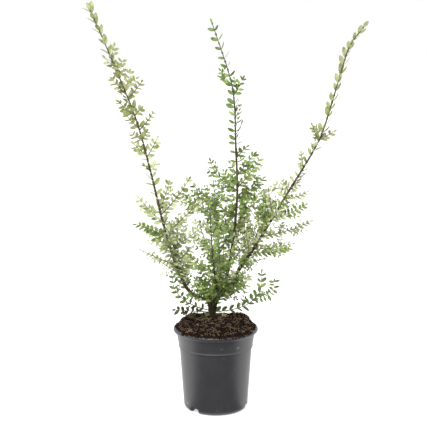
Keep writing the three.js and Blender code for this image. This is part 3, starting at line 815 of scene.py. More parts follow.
# Each row gives a shoot's root height, compass turn, rise at root, rise at tip and length.
SHOOTS = {
    "leader_left": [
        (556, 155, 40, 46, 36), (549, 327, 40, 52, 40), (520, 207, 37, 42, 36),
        (496, 153, 40, 44, 38), (494, 36, 42, 54, 42), (449, 152, 36, 40, 32),
        (446, 322, 54, 58, 40), (352, 60, 54, 62, 54), (344, 337, 46, 60, 86),
        (328, 156, 40, 46, 66), (310, 334, 42, 46, 90), (304, 206, 30, 14, 64),
        (294, 280, 44, 60, 58), (285, 146, 24, 38, 62), (283, 25, 26, 44, 84),
        (264, 85, 40, 52, 62), (258, 316, 36, 42, 52), (252, 206, 26, 30, 76),
        (237, 142, 18, 30, 64),
    ],
    "leader_centre": [
        (443, 40, 40, 28, 30), (411, 326, 50, 48, 54), (390, 37, 38, 54, 68),
        (386, 156, 26, 80, 74), (369, 326, 36, 42, 68), (338, 199, 34, 44, 100),
        (300, 162, 46, 14, 128),
    ],
    "leader_right": [
        (474, 23, 24, 28, 32), (472, 229, 54, 60, 36), (426, 104, 56, 66, 28),
        (371, 330, 10, 38, 46), (338, 252, 56, 62, 62), (337, 24, 8, 32, 68),
        (306, 94, 44, 56, 54), (303, 344, 14, 32, 94), (280, 14, 2, 12, 74),
        (274, 341, 4, 24, 72), (272, 258, 48, 56, 56), (256, 325, 14, 22, 48),
        (246, 70, 34, 46, 66),
    ],
    "bough_front": [(262, 322, 34, 46, 62), (246, 205, 34, 46, 62)],
    "bough_back": [(270, 30, 34, 46, 64), (250, 150, 34, 46, 64)],
    "trunk": [(168, 195, 18, 100, 114), (166, 216, 12, 12, 82), (167, 346, 8, 110, 134)],
}
STEM_STEPS = 4
FORKING_LENGTH = 64
TWIG_PLACES = (0.38, 0.66)
TWIG_TURN = 48
TWIG_SHARE = 0.42
TIP_TWIG_TURN = 38
TIP_TWIG_SHARE = 0.2
TWIG_TURN_CHANCE = 12
TWIG_LENGTH_CHANCE = 0.3
TWIG_TAPER_END = 1.15
TWIG_POINTS = (2, 4)
SPRAY_TILT = (35, 65)
LOW_SHOOT_TILT = 76
SPACE_MARGIN = 0.9
LIMB_CLEARANCE = 0.4
LOWEST_LEAF = 161
STEM_RADII = (1.1, 0.55)
TWIG_RADIUS = 0.48
TWIG_LEAST = 10
TWIG_LIFT = 0.06
TWIG_STRAY = 0.14
FORK_PLACES = (0.35, 0.68)
FORK_LEAST = 26
FORK_SHARE = 0.5
FORK_LENGTHS = (1.12, 1.68)
FORK_TILT_CHANCE = 70
FINER_TWIG = 0.8
FINER_LEAVES = 0.92
INNER_TWIG_STEP = 17
INNER_REACH = 45
OUTER_REACH = 105
PLANT_AXIS = (14, 26)
# Leaf pairs: the first and the last step between them, and how much larger or smaller the
# leaves are at a stem's end. Long shoots on the right end fuller, low ones have wide steps.
PAIR_STEP = 8.9
RIGHT_PAIR_STEPS = (8.9, 7.2)
RIGHT_CHANGE = -0.2
LOW_PAIR_STEPS = (13, 9)
LOW_CHANGE = -0.3
STEP_RANGE = (0.85, 1.15)
FIRST_PAIR = 5
LEAF_LENGTH = 15
LEAF_SIZES = (0.8, 1.15)
LEAF_SPREAD = 48
LEAF_SPREAD_CHANCE = 22
LEAF_TILT_CHANCE = 70
LEAF_HALF_WIDTH = 0.25
LEAF_MIDDLE = 0.45
EDGE_ON = 75
END_LEAF_TUCK = 0.8
# Leaf scales of each limb's sprays and, on top of them, of single shoots.
LEAF_SCALES = {
    "leader_left": 0.92, "leader_centre": 0.86, "leader_right": 0.8, "bough_front": 0.8,
    "bough_back": 0.76, "trunk": 1.05, "inner": 0.75,
}
SHOOT_SCALES = {
    "left_shoot_2": 0.85, "left_shoot_4": 0.85, "left_shoot_5": 0.65, "left_shoot_8": 0.93,
    "left_shoot_9": 0.88, "left_shoot_11": 0.85, "left_shoot_15": 0.92, "left_shoot_18": 0.6,
    "left_shoot_19": 0.6, "centre_shoot_4": 0.95, "right_shoot_2": 0.8, "right_shoot_3": 0.8,
    "right_shoot_8": 0.85, "right_shoot_9": 0.85, "right_shoot_12": 0.65, "right_shoot_13": 0.85,
    "trunk_shoot_1": 0.82, "trunk_shoot_2": 0.95,
}
STEM_LEAF_SCALE = 1.12
SIDE_LEAF_SCALE = 0.84
LOW_LEAF_SCALE = 0.52
# Each leader's tip: its leaves' scale, how that changes along it, the first and the last
# step between pairs, their spread, the side that shows its leaves' faces, the end leaf.
TIP_LEAVES = {
    "leader_left": (1.12, 0.3, (7, 11), 24, 1, 0.8),
    "leader_centre": (1.05, -0.2, (8, 9), 52, -1, 0.5),
    "leader_right": (1.2, -0.05, (7.5, 7.5), 22, -1, 0.8),
    "bough_front": (0.95, -0.3, (8, 8), 50, 1, 0.6),
    "bough_back": (0.95, -0.3, (8, 8), 50, -1, 0.6),
}
SQUARE_PAIR_SCALE = 0.6
BOUGH_SKEW = math.radians(45)
YOUNG_LEAF_SHRINK = 0.3
LEAF_ROOM = 3.8
UP = Vector((0, 0, 1))
ANY_SPACE = -1


def around(middle, width, chance):
    """A value by chance, at most half the width away from the middle."""
    return middle + width * (next(chance) - 0.5)


def shoot_path(root, turn, rise, lift, length, steps):
    """A shoot's path: its rise changes slowly at its root and quickly near its tip."""
    path = [Vector(root)]
    compass, step = math.radians(turn), length / steps
    for i in range(steps):
        slope = math.radians(between((rise, lift), ((i + 0.5) / steps) ** 2))
        level = math.cos(slope) * step
        move = (math.cos(compass) * level, math.sin(compass) * level, math.sin(slope) * step)
        path.append(path[-1] + Vector(move))
    return path


def place_at_height(path, height):
    i = next(i for i, point in enumerate(path) if point[2] >= height)
    share = (height - path[i - 1][2]) / (path[i][2] - path[i - 1][2])
    return Vector(path[i - 1]).lerp(Vector(path[i]), share)


def path_length(path):
    return sum((b - a).length for a, b in zip(path, path[1:]))


def place_along(path, distance):
    """The place and the direction at a distance along a path."""
    left = distance
    for i, (a, b) in enumerate(zip(path, path[1:])):
        step = (b - a).length
        direction = (b - a).normalized()
        if left <= step or i == len(path) - 2:
            return a + direction * min(left, step), direction
        left -= step


TRUNK_BENDS = (0, 0.12, 0.3, 0.55, 0.8, 0.93, 1)
trunk_line = [
    Vector([np.interp(share, trunk_shares, axis) for axis in trunk_path.T])
    for share in TRUNK_BENDS
]
sprays = []
for limb_name, rows in SHOOTS.items():
    label = limb_name.replace("leader_", "").replace("bough_", "")
    if limb_name in LIMBS:
        limb = LIMBS[limb_name]
        sprays.append({
            "name": f"{label}_tip", "limb": limb_name, "upright": True,
            "path": [Vector(p) for p in limb["stem"]], "twigs": limb["tip_twigs"],
        })
    limb_path = LIMBS[limb_name]["path"] if limb_name in LIMBS else trunk_line
    for row, (height, turn, rise, lift, length) in enumerate(rows):
        root = place_at_height(limb_path, height)
        sprays.append({
            "name": f"{label}_shoot_{row + 1}", "limb": limb_name, "upright": False,
            "path": shoot_path(root, turn, rise, lift, length, STEM_STEPS),
            "twigs": TWIG_PLACES if length > FORKING_LENGTH else (),
        })

stem_starts, stem_ends, stem_owner = [], [], []
for order, spray in enumerate(sprays):
    for a, b in zip(spray["path"], spray["path"][1:]):
        stem_starts.append(a[:])
        stem_ends.append(b[:])
        stem_owner.append(order)
stem_starts, stem_ends = np.array(stem_starts), np.array(stem_ends)
stem_owner = np.array(stem_owner)
wood_paths = [trunk_path] + [limb["path"] for limb in LIMBS.values()]
wood_radii = [trunk_radii] + [limb["radii"] for limb in LIMBS.values()]
limb_starts = np.vstack([path[:-1] for path in wood_paths])
limb_ends = np.vstack([path[1:] for path in wood_paths])
limb_start_radii = np.concatenate([radii[:-1] for radii in wood_radii])
limb_end_radii = np.concatenate([radii[1:] for radii in wood_radii])


def gaps(points, starts, ends):
    """The gap from each point to each line, and the share of the line where it is."""
    line = ends - starts
    offset = points[:, None] - starts
    share = np.clip((offset * line).sum(2) / (line * line).sum(1), 0, 1)
    return np.linalg.norm(offset - share[:, :, None] * line, axis=2), share


def in_space(points, order):
    """Whether points lie in a spray's own space and clear of every limb."""
    points = np.asarray(points, float)
    gap, _ = gaps(points, stem_starts, stem_ends)
    limb_gap, share = gaps(points, limb_starts, limb_ends)
    limb_gap = limb_gap - between((limb_start_radii, limb_end_radii), share)
    clear = (points[:, 2] > LOWEST_LEAF) & (limb_gap.min(1) > LIMB_CLEARANCE)
    if order == ANY_SPACE:
        return clear
    own = gap[:, stem_owner == order].min(1)
    other = gap[:, stem_owner != order].min(1)
    return clear & (other > own + SPACE_MARGIN)


def turned_about(vector, axis, degrees):
    return Quaternion(axis, math.radians(degrees)) @ vector


def leaf_pairs(
    path, across, scale, chance, change=-YOUNG_LEAF_SHRINK, steps=(PAIR_STEP, PAIR_STEP),
    spread=LEAF_SPREAD, broad=0, end=0.6, stand=0,
):
    """Leaves stand in pairs, one on each side of the twig, and one at its end. On a
    leader each pair is square to the last, and its leaf on the broad side shows its face."""
    length = path_length(path)
    foot = (path[1] - path[0]).normalized()
    found, pair, distance = [], 0, FIRST_PAIR
    while distance <= length - 1:
        share = distance / length
        place, direction = place_along(path, distance)
        side = foot.rotation_difference(direction) @ across
        square = broad and pair % 2 == 1
        if square:
            side = turned_about(side, direction, 90)
        side = (side - direction * side.dot(direction)).normalized()
        for way in (1, -1):
            opening = math.radians(around(spread, LEAF_SPREAD_CHANCE, chance))
            blade = (direction * math.cos(opening) + side * way * math.sin(opening)).normalized()
            tilt = around(EDGE_ON if broad and way != broad else 0, LEAF_TILT_CHANCE, chance)
            face = turned_about(side.cross(direction).normalized(), blade, tilt)
            size = LEAF_LENGTH * (1 + change * share) * scale * between(LEAF_SIZES, next(chance))
            root = place + side * way * stand
            found.append((root, blade, face, size * (SQUARE_PAIR_SCALE if square else 1)))
        distance += between(steps, share) * between(STEP_RANGE, next(chance))
        pair += 1
    place, direction = place_along(path, length - END_LEAF_TUCK)
    face = across.cross(direction).normalized()
    if end:
        found.append((place, direction, face, LEAF_LENGTH * end * scale))
    return found


def bent_twig(place, heading, length, chance):
    """A twig of four short steps that bends a little upward."""
    path = [place]
    for _ in range(4):
        stray = Vector([around(0, 1, chance) for _ in range(3)])
        heading = (heading + UP * TWIG_LIFT + stray * TWIG_STRAY).normalized()
        path.append(path[-1] + heading * length / 4)
    return path


def grow_twig(place, heading, length, across, order, level, scale, chance):
    """A twig with its leaves and the finer twigs that fork from it by turns."""
    twig = bent_twig(place, heading, length, chance)
    if length < TWIG_LEAST or not in_space([twig[i] for i in TWIG_POINTS], order).all():
        return [], []
    twigs = [(twig, TWIG_RADIUS * FINER_TWIG ** level)]
    leaves = leaf_pairs(twig, across, scale * FINER_LEAVES ** level, chance)
    if length > FORK_LEAST:
        for i, share in enumerate(FORK_PLACES):
            fork_place, ahead = place_along(twig, length * share)
            way = 1 if (i + level) % 2 else -1
            axis = ahead.cross(across).normalized()
            turn = way * around(TWIG_TURN, TWIG_TURN_CHANCE, chance)
            tilt = around(0, FORK_TILT_CHANCE, chance)
            fork_heading = turned_about(turned_about(ahead, axis, turn), ahead, tilt)
            fork_length = FORK_SHARE * length * (TWIG_TAPER_END - share)
            fork_length *= between(FORK_LENGTHS, next(chance))
            more = grow_twig(
                fork_place, fork_heading, fork_length, across, order, level + 1, scale, chance
            )
            twigs += more[0]
            leaves += more[1]
    return twigs, leaves


def fitting_leaves(leaves, order):
    """The leaves that stay in their space and do not crowd an earlier one."""
    corners = []
    for place, blade, face, size in leaves:
        side = face.cross(blade) * size * LEAF_HALF_WIDTH
        middle = place + blade * size * LEAF_MIDDLE
        corners += [place + blade * size, middle + side, middle - side, middle]
    fits = in_space([c[:] for c in corners], order).reshape(-1, 4).all(1)
    middles = np.array([c[:] for c in corners[3::4]])
    kept = []
    for i in np.flatnonzero(fits):
        if not kept or np.linalg.norm(middles[kept] - middles[i], axis=1).min() > LEAF_ROOM:
            kept.append(i)
    return [leaves[i] for i in kept]


for order, spray in enumerate(sprays):
    chance = seeded(SEED + SEED_STEP * order)
    path, upright = spray["path"], spray["upright"]
    length = path_length(path)
    _, ahead = place_along(path, 0)
    level = ahead.cross(UP).normalized()
    tilt = between(SPRAY_TILT, next(chance))
    tilt = LOW_SHOOT_TILT if spray["limb"] == "trunk" else tilt
    choices = [turned_about(level, ahead, tilt), turned_about(level, ahead, -tilt)]
    broadside = max(choices, key=lambda side: abs(side.cross(ahead).y))
    skew = BOUGH_SKEW if spray["limb"].startswith("bough") else 0
    across = Vector((math.cos(skew), math.sin(skew), 0)) if upright else broadside
    turn = TIP_TWIG_TURN if upright else TWIG_TURN
    twig_share = TIP_TWIG_SHARE if upright else TWIG_SHARE
    places = [(share, 1 if i % 2 == 0 else -1) for i, share in enumerate(spray["twigs"])]
    from_axis = math.hypot(path[0].x - PLANT_AXIS[0], path[0].y - PLANT_AXIS[1])
    inner = min(1, max(0, (OUTER_REACH - from_axis) / (OUTER_REACH - INNER_REACH)))
    scale = LEAF_SCALES[spray["limb"]] * SHOOT_SCALES.get(spray["name"], 1)
    if spray["limb"] != "trunk" and (not upright or spray["limb"].startswith("bough")):
        count = round(inner * length / INNER_TWIG_STEP)
        places += [((i + 0.7) / (count + 1), 1 if i % 2 else -1) for i in range(count)]
    twigs = []
    if upright:
        tip_scale, *tip_rule = TIP_LEAVES[spray["limb"]]
        leaves = leaf_pairs(path, across, tip_scale, chance, *tip_rule)
    elif spray["limb"] == "trunk":
        leaves = leaf_pairs(path, across, scale, chance, LOW_CHANGE, LOW_PAIR_STEPS)
        scale *= LOW_LEAF_SCALE
    else:
        long_right = spray["limb"] == "leader_right" and length > FORKING_LENGTH
        outer = (RIGHT_CHANGE, RIGHT_PAIR_STEPS) if long_right else ()
        leaves = leaf_pairs(path, across, scale * STEM_LEAF_SCALE, chance, *outer)
        scale *= SIDE_LEAF_SCALE
    for share, way in places:
        place, direction = place_along(path, length * share)
        axis = direction.cross(ahead.rotation_difference(direction) @ across).normalized()
        heading = turned_about(direction, axis, way * around(turn, TWIG_TURN_CHANCE, chance))
        luck = around(1, TWIG_LENGTH_CHANCE, chance)
        twig_length = twig_share * length * (TWIG_TAPER_END - share) * luck
        more = grow_twig(place, heading, twig_length, across, order, 0, scale, chance)
        twigs += more[0]
        leaves += more[1]
    spray["leaves"] = fitting_leaves(leaves, order)
    spray["fine_twigs"] = twigs

# Growth straight on the limbs: leaf pairs stand along the leaders, each pair square to the
# last, with short leafy spurs in some of their joints. Lower down, slender inner twigs fill
# the middle of the plant, and a few stalks and a sucker stand at its foot.
LEAF_STAND = 1.2
# Each row gives a limb, the heights between which its pairs stand, their step, the spread
# and the broad side of the leaves, their scale, and the share of joints with a spur.
LEADER_ROWS = (
    ("leader_left", 525, 610, 8.5, 38, 1, 1.05, 0.25),
    ("leader_left", 455, 525, 10, 45, 1, 0.85, 0.0),
    ("leader_left", 330, 455, 8, 55, 1, 0.95, 0.08),
    ("leader_left", 215, 330, 6.5, 65, 1, 0.8, 0.45),
    ("leader_left", 190, 262, 7, 65, -1, 0.6, 0.6),
    ("leader_centre", 470, 560, 7.5, 60, -1, 0.95, 0.3),
    ("leader_centre", 380, 470, 8.5, 75, -1, 0.75, 0.0),
    ("leader_centre", 270, 380, 8, 60, -1, 0.7, 0.2),
    ("leader_right", 470, 600, 7.5, 30, -1, 1.05, 0.05),
    ("leader_right", 395, 470, 7, 50, -1, 0.88, 0.3),
    ("leader_right", 250, 395, 7, 60, -1, 0.8, 0.3),
    ("bough_front", 212, 330, 7, 55, 1, 0.7, 0.4),
    ("bough_back", 212, 330, 8, 55, 1, 0.7, 0.35),
)
SPUR_LENGTH = 18
SPUR_RANGE = (0.6, 1.4)
SPUR_TURN_CHANCE = 60
SPUR_OPENING = 0.6
# Single spurs where the photograph shows more leaves: root height, compass turn, rise and
# length. The last few reach out to the right just above the trunk's fork.
SPURS = {
    "leader_left": [
        (562, 10, 70, 32), (548, 190, 60, 22), (520, 329, 31, 18), (474, 211, 33, 24),
        (476, 300, 40, 24), (300, 262, 25, 24), (290, 285, 30, 26), (282, 240, 28, 24),
        (273, 275, 20, 28), (265, 300, 25, 26), (258, 250, 20, 28), (248, 280, 25, 30),
        (236, 262, 15, 26), (422, 340, 45, 18), (246, 350, 35, 34), (270, 200, 25, 24),
        (284, 180, 30, 24), (325, 285, 35, 24), (312, 255, 30, 22), (308, 320, 30, 22),
        (228, 280, 20, 24), (219, 262, 15, 22), (244, 330, 30, 28), (232, 300, 25, 26),
        (294, 270, 15, 16), (286, 262, 12, 16), (278, 282, 12, 16), (269, 262, 10, 16),
        (262, 280, 10, 16), (254, 265, 10, 16), (242, 275, 10, 16),
    ],
    "leader_centre": [
        (392, 195, 40, 34), (416, 200, 50, 22), (334, 190, 35, 30), (352, 350, 50, 30),
        (340, 20, 45, 30), (328, 335, 40, 32), (206, 300, 20, 26), (214, 330, 25, 28),
        (200, 345, 10, 24), (222, 10, 30, 26), (362, 345, 55, 28),
    ],
    "leader_right": [
        (386, 40, 9, 24), (373, 126, 32, 34), (389, 217, 25, 22), (488, 136, 15, 18),
        (217, 325, 20, 46), (302, 345, 30, 32), (316, 8, 48, 32), (330, 335, 45, 30),
        (344, 15, 50, 28), (290, 280, 30, 26), (270, 262, 25, 26), (252, 285, 25, 28),
        (318, 270, 35, 24), (352, 195, 45, 26), (205, 300, 40, 30), (212, 250, 45, 28),
        (208, 20, 60, 30), (352, 335, 35, 34), (198, 330, 25, 26), (216, 300, 20, 26),
        (224, 280, 20, 24),
    ],
    "bough_front": [
        (206, 240, 10, 26), (215, 262, 10, 26), (224, 290, 15, 24), (235, 265, 15, 24),
        (246, 245, 20, 22), (257, 285, 25, 22), (268, 262, 30, 20),
    ],
}
FORK_SPURS = {
    "leader_right": [(211, 350, 22, 44), (204, 12, 14, 40), (199, 338, 6, 34), (215, 318, 10, 36)],
}
# One more twig near the end of a low shoot on the right: the share along the shoot, compass
# turn, rise at root, rise at tip, length and leaf scale. Its leaves stand like rungs.
LOW_SHOOT = "trunk_shoot_3"
LOW_TWIG = (0.6, 352, 8, 112, 58, 0.68)
RUNG_STEPS = (9, 4.6)
RUNG_SPREAD = 78
# Dry stalks by the trunk's foot, which have lost their leaves: compass turn, rise, length
# and height of foot.
DRY_STALKS = ((350, 24, 52, 160), (330, 12, 40, 161), (10, 40, 36, 162), (205, 22, 34, 160))
# A small young sucker that comes up through the soil beside the trunk: compass turn, rise
# at foot, rise at tip and length.
SUCKER_FOOT = (11, 22, 154)
SUCKER = (20, 60, 75, 11)
SUCKER_SCALE = 0.36
SUCKER_STEPS = (3, 3)
SUCKER_SPREAD = 60
# Inner twigs: the limb, the lowest and the highest root, their count, and the compass turn
# and width of the fan in which they spread.
INNER_TWIGS = (
    ("leader_left", 204, 290, 3, 0, 360), ("leader_left", 230, 300, 2, 180, 150),
    ("leader_centre", 200, 330, 9, 0, 360), ("leader_centre", 250, 320, 4, 0, 130),
    ("leader_centre", 285, 372, 1, 180, 120), ("leader_centre", 335, 372, 1, 0, 360),
    ("leader_right", 235, 340, 10, 0, 360), ("leader_right", 280, 345, 5, 180, 140),
    ("bough_front", 205, 285, 3, 0, 360), ("bough_back", 205, 290, 5, 0, 360),
    ("trunk", 170, 189, 9, 0, 360), ("trunk", 180, 189, 3, 180, 130),
    ("trunk", 180, 189, 4, 0, 130), ("leader_right", 195, 225, 5, 270, 200),
)
INNER_LENGTH = (34, 84)
INNER_FOOT = 28
INNER_OPENING = 0.4
INNER_WIDEST = 72
INNER_RISE = (25, 75)
GOLDEN_TURN = 137.5
FORK_ZONE_TOP = 216
LEFT_ZONE_END = -42
CENTRE_ZONE_END = 34
YOUNG_HEIGHT = 440
ACROSS_VIEW = Vector((1, 0, 0))


def limb_line(name):
    return [Vector(p) for p in LIMBS[name]["path"]] if name in LIMBS else trunk_line


def square_to(direction, turn):
    """A level direction turned round a limb's own direction, in degrees."""
    level = direction.cross(Vector((0, 1, 0))).normalized()
    return turned_about(level, direction, turn)


def own_tone(name, height):
    """The outer leaders' own leaves are young high up and pale lower down; those of the
    front bough are deep green."""
    if name == "bough_front":
        return "deep"
    if name in ("leader_left", "leader_right"):
        return "young" if height > YOUNG_HEIGHT else "pale"
    return None


limb_growth = []


def add_growth(limb, twigs, leaves, tone=None):
    """Keeps the twigs and the fitting leaves that stand straight on a limb."""
    leaves = fitting_leaves(leaves, ANY_SPACE) if leaves else leaves
    grown = {"limb": limb, "fine_twigs": twigs, "leaves": leaves}
    limb_growth.append(grown | {"tone": tone} if tone else grown)


for row, (name, low, high, step, spread, broad, scale, spur_share) in enumerate(LEADER_ROWS):
    chance = seeded(SEED - 1 - row)
    line = limb_line(name)
    high = min(high, line[-1].z - 0.1)
    inside = [p for p in line if low + 1 < p.z < high - 1]
    run = [place_at_height(line, low), *inside, place_at_height(line, high)]
    leaves = leaf_pairs(
        run, ACROSS_VIEW, scale, chance, 0, (step, step), spread, broad, 0, LEAF_STAND
    )
    twigs, distance = [], FIRST_PAIR
    while distance < path_length(run):
        place, direction = place_along(run, distance)
        for way in (0, 180):
            side = square_to(direction, around(way, SPUR_TURN_CHANCE, chance))
            length = SPUR_LENGTH * between(SPUR_RANGE, next(chance))
            if next(chance) < spur_share:
                more = grow_twig(
                    place, (direction + side * SPUR_OPENING).normalized(), length,
                    side.cross(direction).normalized(), ANY_SPACE, 1, scale, chance,
                )
                twigs += more[0]
                leaves += more[1]
        distance += step
    add_growth(name, twigs, leaves, own_tone(name, low))


def grow_spurs(name, rows):
    """Grows the spurs of one limb, one for each row."""
    for height, turn, rise, length in rows:
        chance = seeded(SEED + height)
        place = place_at_height(limb_line(name), height)
        heading = shoot_path(place, turn, rise, rise, 1, 1)[1] - place
        across = heading.cross(Vector((0, 1, 0))).normalized()
        twigs, leaves = grow_twig(
            place, heading, length, across, ANY_SPACE, 0, LEAF_SCALES[name], chance
        )
        if twigs:
            high = height > YOUNG_HEIGHT
            add_growth(name, twigs, leaves, own_tone(name, height) if high else None)


for name, rows in SPURS.items():
    grow_spurs(name, rows)
share, turn, rise, lift, length, scale = LOW_TWIG
stem = next(spray["path"] for spray in sprays if spray["name"] == LOW_SHOOT)
place, _ = place_along(stem, path_length(stem) * share)
twig = shoot_path(place, turn, rise, lift, length, STEM_STEPS)
leaves = leaf_pairs(twig, UP, scale, seeded(SEED + length), 0, RUNG_STEPS, RUNG_SPREAD)
add_growth("trunk", [(twig, TWIG_RADIUS)], leaves, "deep")
for turn, rise, length, height in DRY_STALKS:
    chance = seeded(SEED + turn)
    place = place_at_height(trunk_line, height)
    heading = shoot_path(place, turn, rise, rise, 1, 1)[1] - place
    stalk = bent_twig(place, heading, length, chance)
    add_growth("trunk", [(stalk, TWIG_RADIUS)], [])
sucker = shoot_path(SUCKER_FOOT, *SUCKER, STEM_STEPS)
leaves = leaf_pairs(
    sucker, ACROSS_VIEW, SUCKER_SCALE, seeded(SEED), 0, SUCKER_STEPS, SUCKER_SPREAD
)
limb_growth.append({
    "limb": "trunk", "fine_twigs": [(sucker, TWIG_RADIUS)], "leaves": leaves, "tone": "pale",
})
for row, (name, low, high, count, toward, fan) in enumerate(INNER_TWIGS):
    chance = seeded(SEED + 1 + row)
    line = limb_line(name)
    for i in range(count):
        height = low + (high - low) * (i + next(chance)) / count
        place = place_at_height(line, min(height, line[-1].z - 0.5))
        compass = math.radians(toward + fan * ((GOLDEN_TURN * i / 360 + row / 6) % 1 - 0.5))
        slope = math.radians(between(INNER_RISE, next(chance)))
        level = math.cos(slope)
        heading = Vector((
            math.cos(compass) * level, math.sin(compass) * level, math.sin(slope)
        ))
        length = between(INNER_LENGTH, next(chance))
        end = place + heading * length
        widest = min(INNER_WIDEST, INNER_FOOT + INNER_OPENING * (end.z - TRUNK_FOOT[2]))
        outward = Vector((end.x - PLANT_AXIS[0], end.y - PLANT_AXIS[1], 0))
        if outward.length > widest:
            end -= outward * (1 - widest / outward.length)
        heading, length = (end - place).normalized(), (end - place).length
        across = turned_about(heading.cross(UP).normalized(), heading, around(0, 180, chance))
        twigs, leaves = grow_twig(
            place, heading, length, across, ANY_SPACE, 0, LEAF_SCALES["inner"], chance
        )
        if twigs:
            middle = (place + end) / 2
            zone = "leader_left" if middle.x < LEFT_ZONE_END else "leader_right"
            zone = "leader_centre" if LEFT_ZONE_END <= middle.x < CENTRE_ZONE_END else zone
            add_growth("trunk" if middle.z < FORK_ZONE_TOP else zone, twigs, leaves)
for name, rows in FORK_SPURS.items():
    grow_spurs(name, rows)

# Twigs: the young wood that carries the leaves, and the leaders' own thin tips. Each is a
# slender rod that tapers outward, grown from the stem or limb that bears it.
STEM_POINTS = 13
TWIG_TIP_RADIUS = 0.3
# A leader's tip starts a little way inside its barked part: that share of its length, and
# its thickness beside the leader's at its foot and at its end.
TIP_JOINT = 0.003
TIP_THICKNESS = (1.15, 0.8)
# Young bark: smooth and half matt, tan to grey-green, darker where it ripens.
TWIG_FINISH = {"Roughness": 0.7}
BARK_DRIFT = 12
young_bark = drifting_material("young_bark", BARK_DRIFT, ("#514333", "#7c7256"), TWIG_FINISH)
ripening_bark = drifting_material(
    "ripening_bark", BARK_DRIFT, ("#33291f", "#5a4d3c"), TWIG_FINISH
)
stem_paths, stem_radii, tip_paths, tip_radii, twig_paths, twig_radii = ([] for _ in range(6))
for spray in sprays:
    length = path_length(spray["path"])
    shares = np.linspace(0, 1, STEM_POINTS)
    if spray["upright"]:
        limb = LIMBS[spray["limb"]]
        run = between((limb["bare"] - TIP_JOINT, 1), shares)
        tip_paths.append(smooth_curve(limb["route"], run)[0])
        tip_radii.append(limb_radius(limb, run) * between(TIP_THICKNESS, shares))
    else:
        stem_paths.append(smooth_curve([p[:] for p in spray["path"]], shares)[0])
        stem_radii.append(between(STEM_RADII, shares))
for spray in sprays + limb_growth:
    for twig, radius in spray["fine_twigs"]:
        twig_paths.append([p[:] for p in twig])
        twig_radii.append(np.linspace(radius, TWIG_TIP_RADIUS, len(twig)))
stem_corners, stem_faces = thin_rods(stem_paths, stem_radii)
twig_corners, twig_faces = thin_rods(twig_paths, twig_radii)
twigs = place_arrays(
    "twigs", np.vstack([stem_corners, twig_corners]),
    np.vstack([stem_faces, twig_faces + len(stem_corners)]), young_bark,
)
tips = place_arrays("leader_tip_stems", *thin_rods(tip_paths, tip_radii), ripening_bark)
for piece in (twigs, tips):
    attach(piece, "root")
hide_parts(*[spray["name"] for spray in sprays])

# Leaves: small, leathery, egg-shaped evergreen leaves, glossy above, folded a little
# along the midrib and bent down at the tip.
LEAF_WIDTH_SHARE = 0.48
# Along a leaf one unit long: where its cross rows lie, and their half widths in shares of
# its full width.
LEAF_ROWS = (0.0, 0.13, 0.36, 0.64, 0.88, 1.0)
LEAF_WIDTHS = (0.03, 0.32, 0.5, 0.48, 0.28, 0.0)
LEAF_FOLD = 0.18
LEAF_BEND = 0.12
leaf_shape = bmesh.new()
bmesh.ops.create_grid(leaf_shape, x_segments=5, y_segments=2, size=0.5)
for v in leaf_shape.verts:
    row = round((v.co.x + 0.5) * 5)
    along = LEAF_ROWS[row]
    width = LEAF_WIDTHS[row] * LEAF_WIDTH_SHARE
    side = round(v.co.y * 2)
    v.co = Vector((along, side * width, LEAF_FOLD * abs(side) * width - LEAF_BEND * along ** 2))
bmesh.ops.remove_doubles(leaf_shape, verts=leaf_shape.verts, dist=0.001)
leaf_corners, leaf_faces = template(leaf_shape)

# Leaves in six greens, one leathery finish: a slight drift of colour, and a soft gloss. The
# darkest, shade, is painted shade: low leaves by the fork, darkened for the shade they stand in.
LEAF_FINISH = {"Roughness": 0.42, "IOR": 1.45}
LEAF_DRIFT = 7
LEAF_DRIFT_SPAN = (0.36, 0.64)
TONES = {
    "pale": ("#929e67", "#bfc79e"),
    "fresh": ("#698236", "#94a95d"),
    "deep": ("#475d27", "#6d8243"),
    # Painted shade: a darker green for leaves low in the plant that stand in shade.
    "shade": ("#2d3a18", "#4c5c2c"),
    "young": ("#757c4b", "#a2a67c"),
    "olive": ("#687139", "#8f9b5c"),
}
# A spray draws a share between 0 and 1: up to the first of its limb's three shares it is
# pale, up to the second fresh, up to the third deep, and past that the painted shade green.
TONE_SHARES = {
    "leader_left": (0.88, 1.0, 1.0), "leader_centre": (0.06, 0.68, 0.95),
    "leader_right": (0.6, 0.97, 1.0), "bough_front": (0.08, 0.66, 1.0),
    "bough_back": (0.5, 0.95, 1.0), "trunk": (0.02, 0.42, 0.86),
}
# Sprays whose green the photograph shows, and the green of the odd leaves among each.
SPRAY_TONES = {
    "left_tip": "young", "centre_tip": "deep", "right_tip": "young", "front_tip": "fresh",
    "left_shoot_1": "olive", "left_shoot_2": "young", "left_shoot_3": "olive",
    "left_shoot_4": "young", "left_shoot_5": "olive", "left_shoot_6": "young",
    "left_shoot_7": "pale", "left_shoot_9": "pale", "centre_shoot_4": "deep",
    "centre_shoot_7": "deep", "right_shoot_1": "young", "right_shoot_2": "olive",
    "right_shoot_3": "young", "right_shoot_8": "olive", "trunk_shoot_1": "deep",
    "trunk_shoot_2": "shade", "trunk_shoot_3": "deep",
}
STRAY_LEAVES = 0.2
STRAY_TONES = {
    "pale": "olive", "fresh": "deep", "deep": "fresh", "shade": "deep", "young": "olive",
    "olive": "young",
}
TONE_SEED = 7
tone_leaves = {tone: [] for tone in TONES}
tone_nodes = {tone: [] for tone in TONES}
dealt = seeded(TONE_SEED)
for spray in sprays + limb_growth:
    shares = TONE_SHARES[spray["limb"]]
    pick = next(dealt)
    own = spray.get("tone", list(TONES)[sum(pick > share for share in shares)])
    if "name" in spray:
        own = SPRAY_TONES.get(spray["name"], own)
        tone_nodes[own].append(spray["name"])
    for leaf in spray["leaves"]:
        stray = next(dealt) < STRAY_LEAVES
        tone_leaves[STRAY_TONES[own] if stray else own].append(leaf)
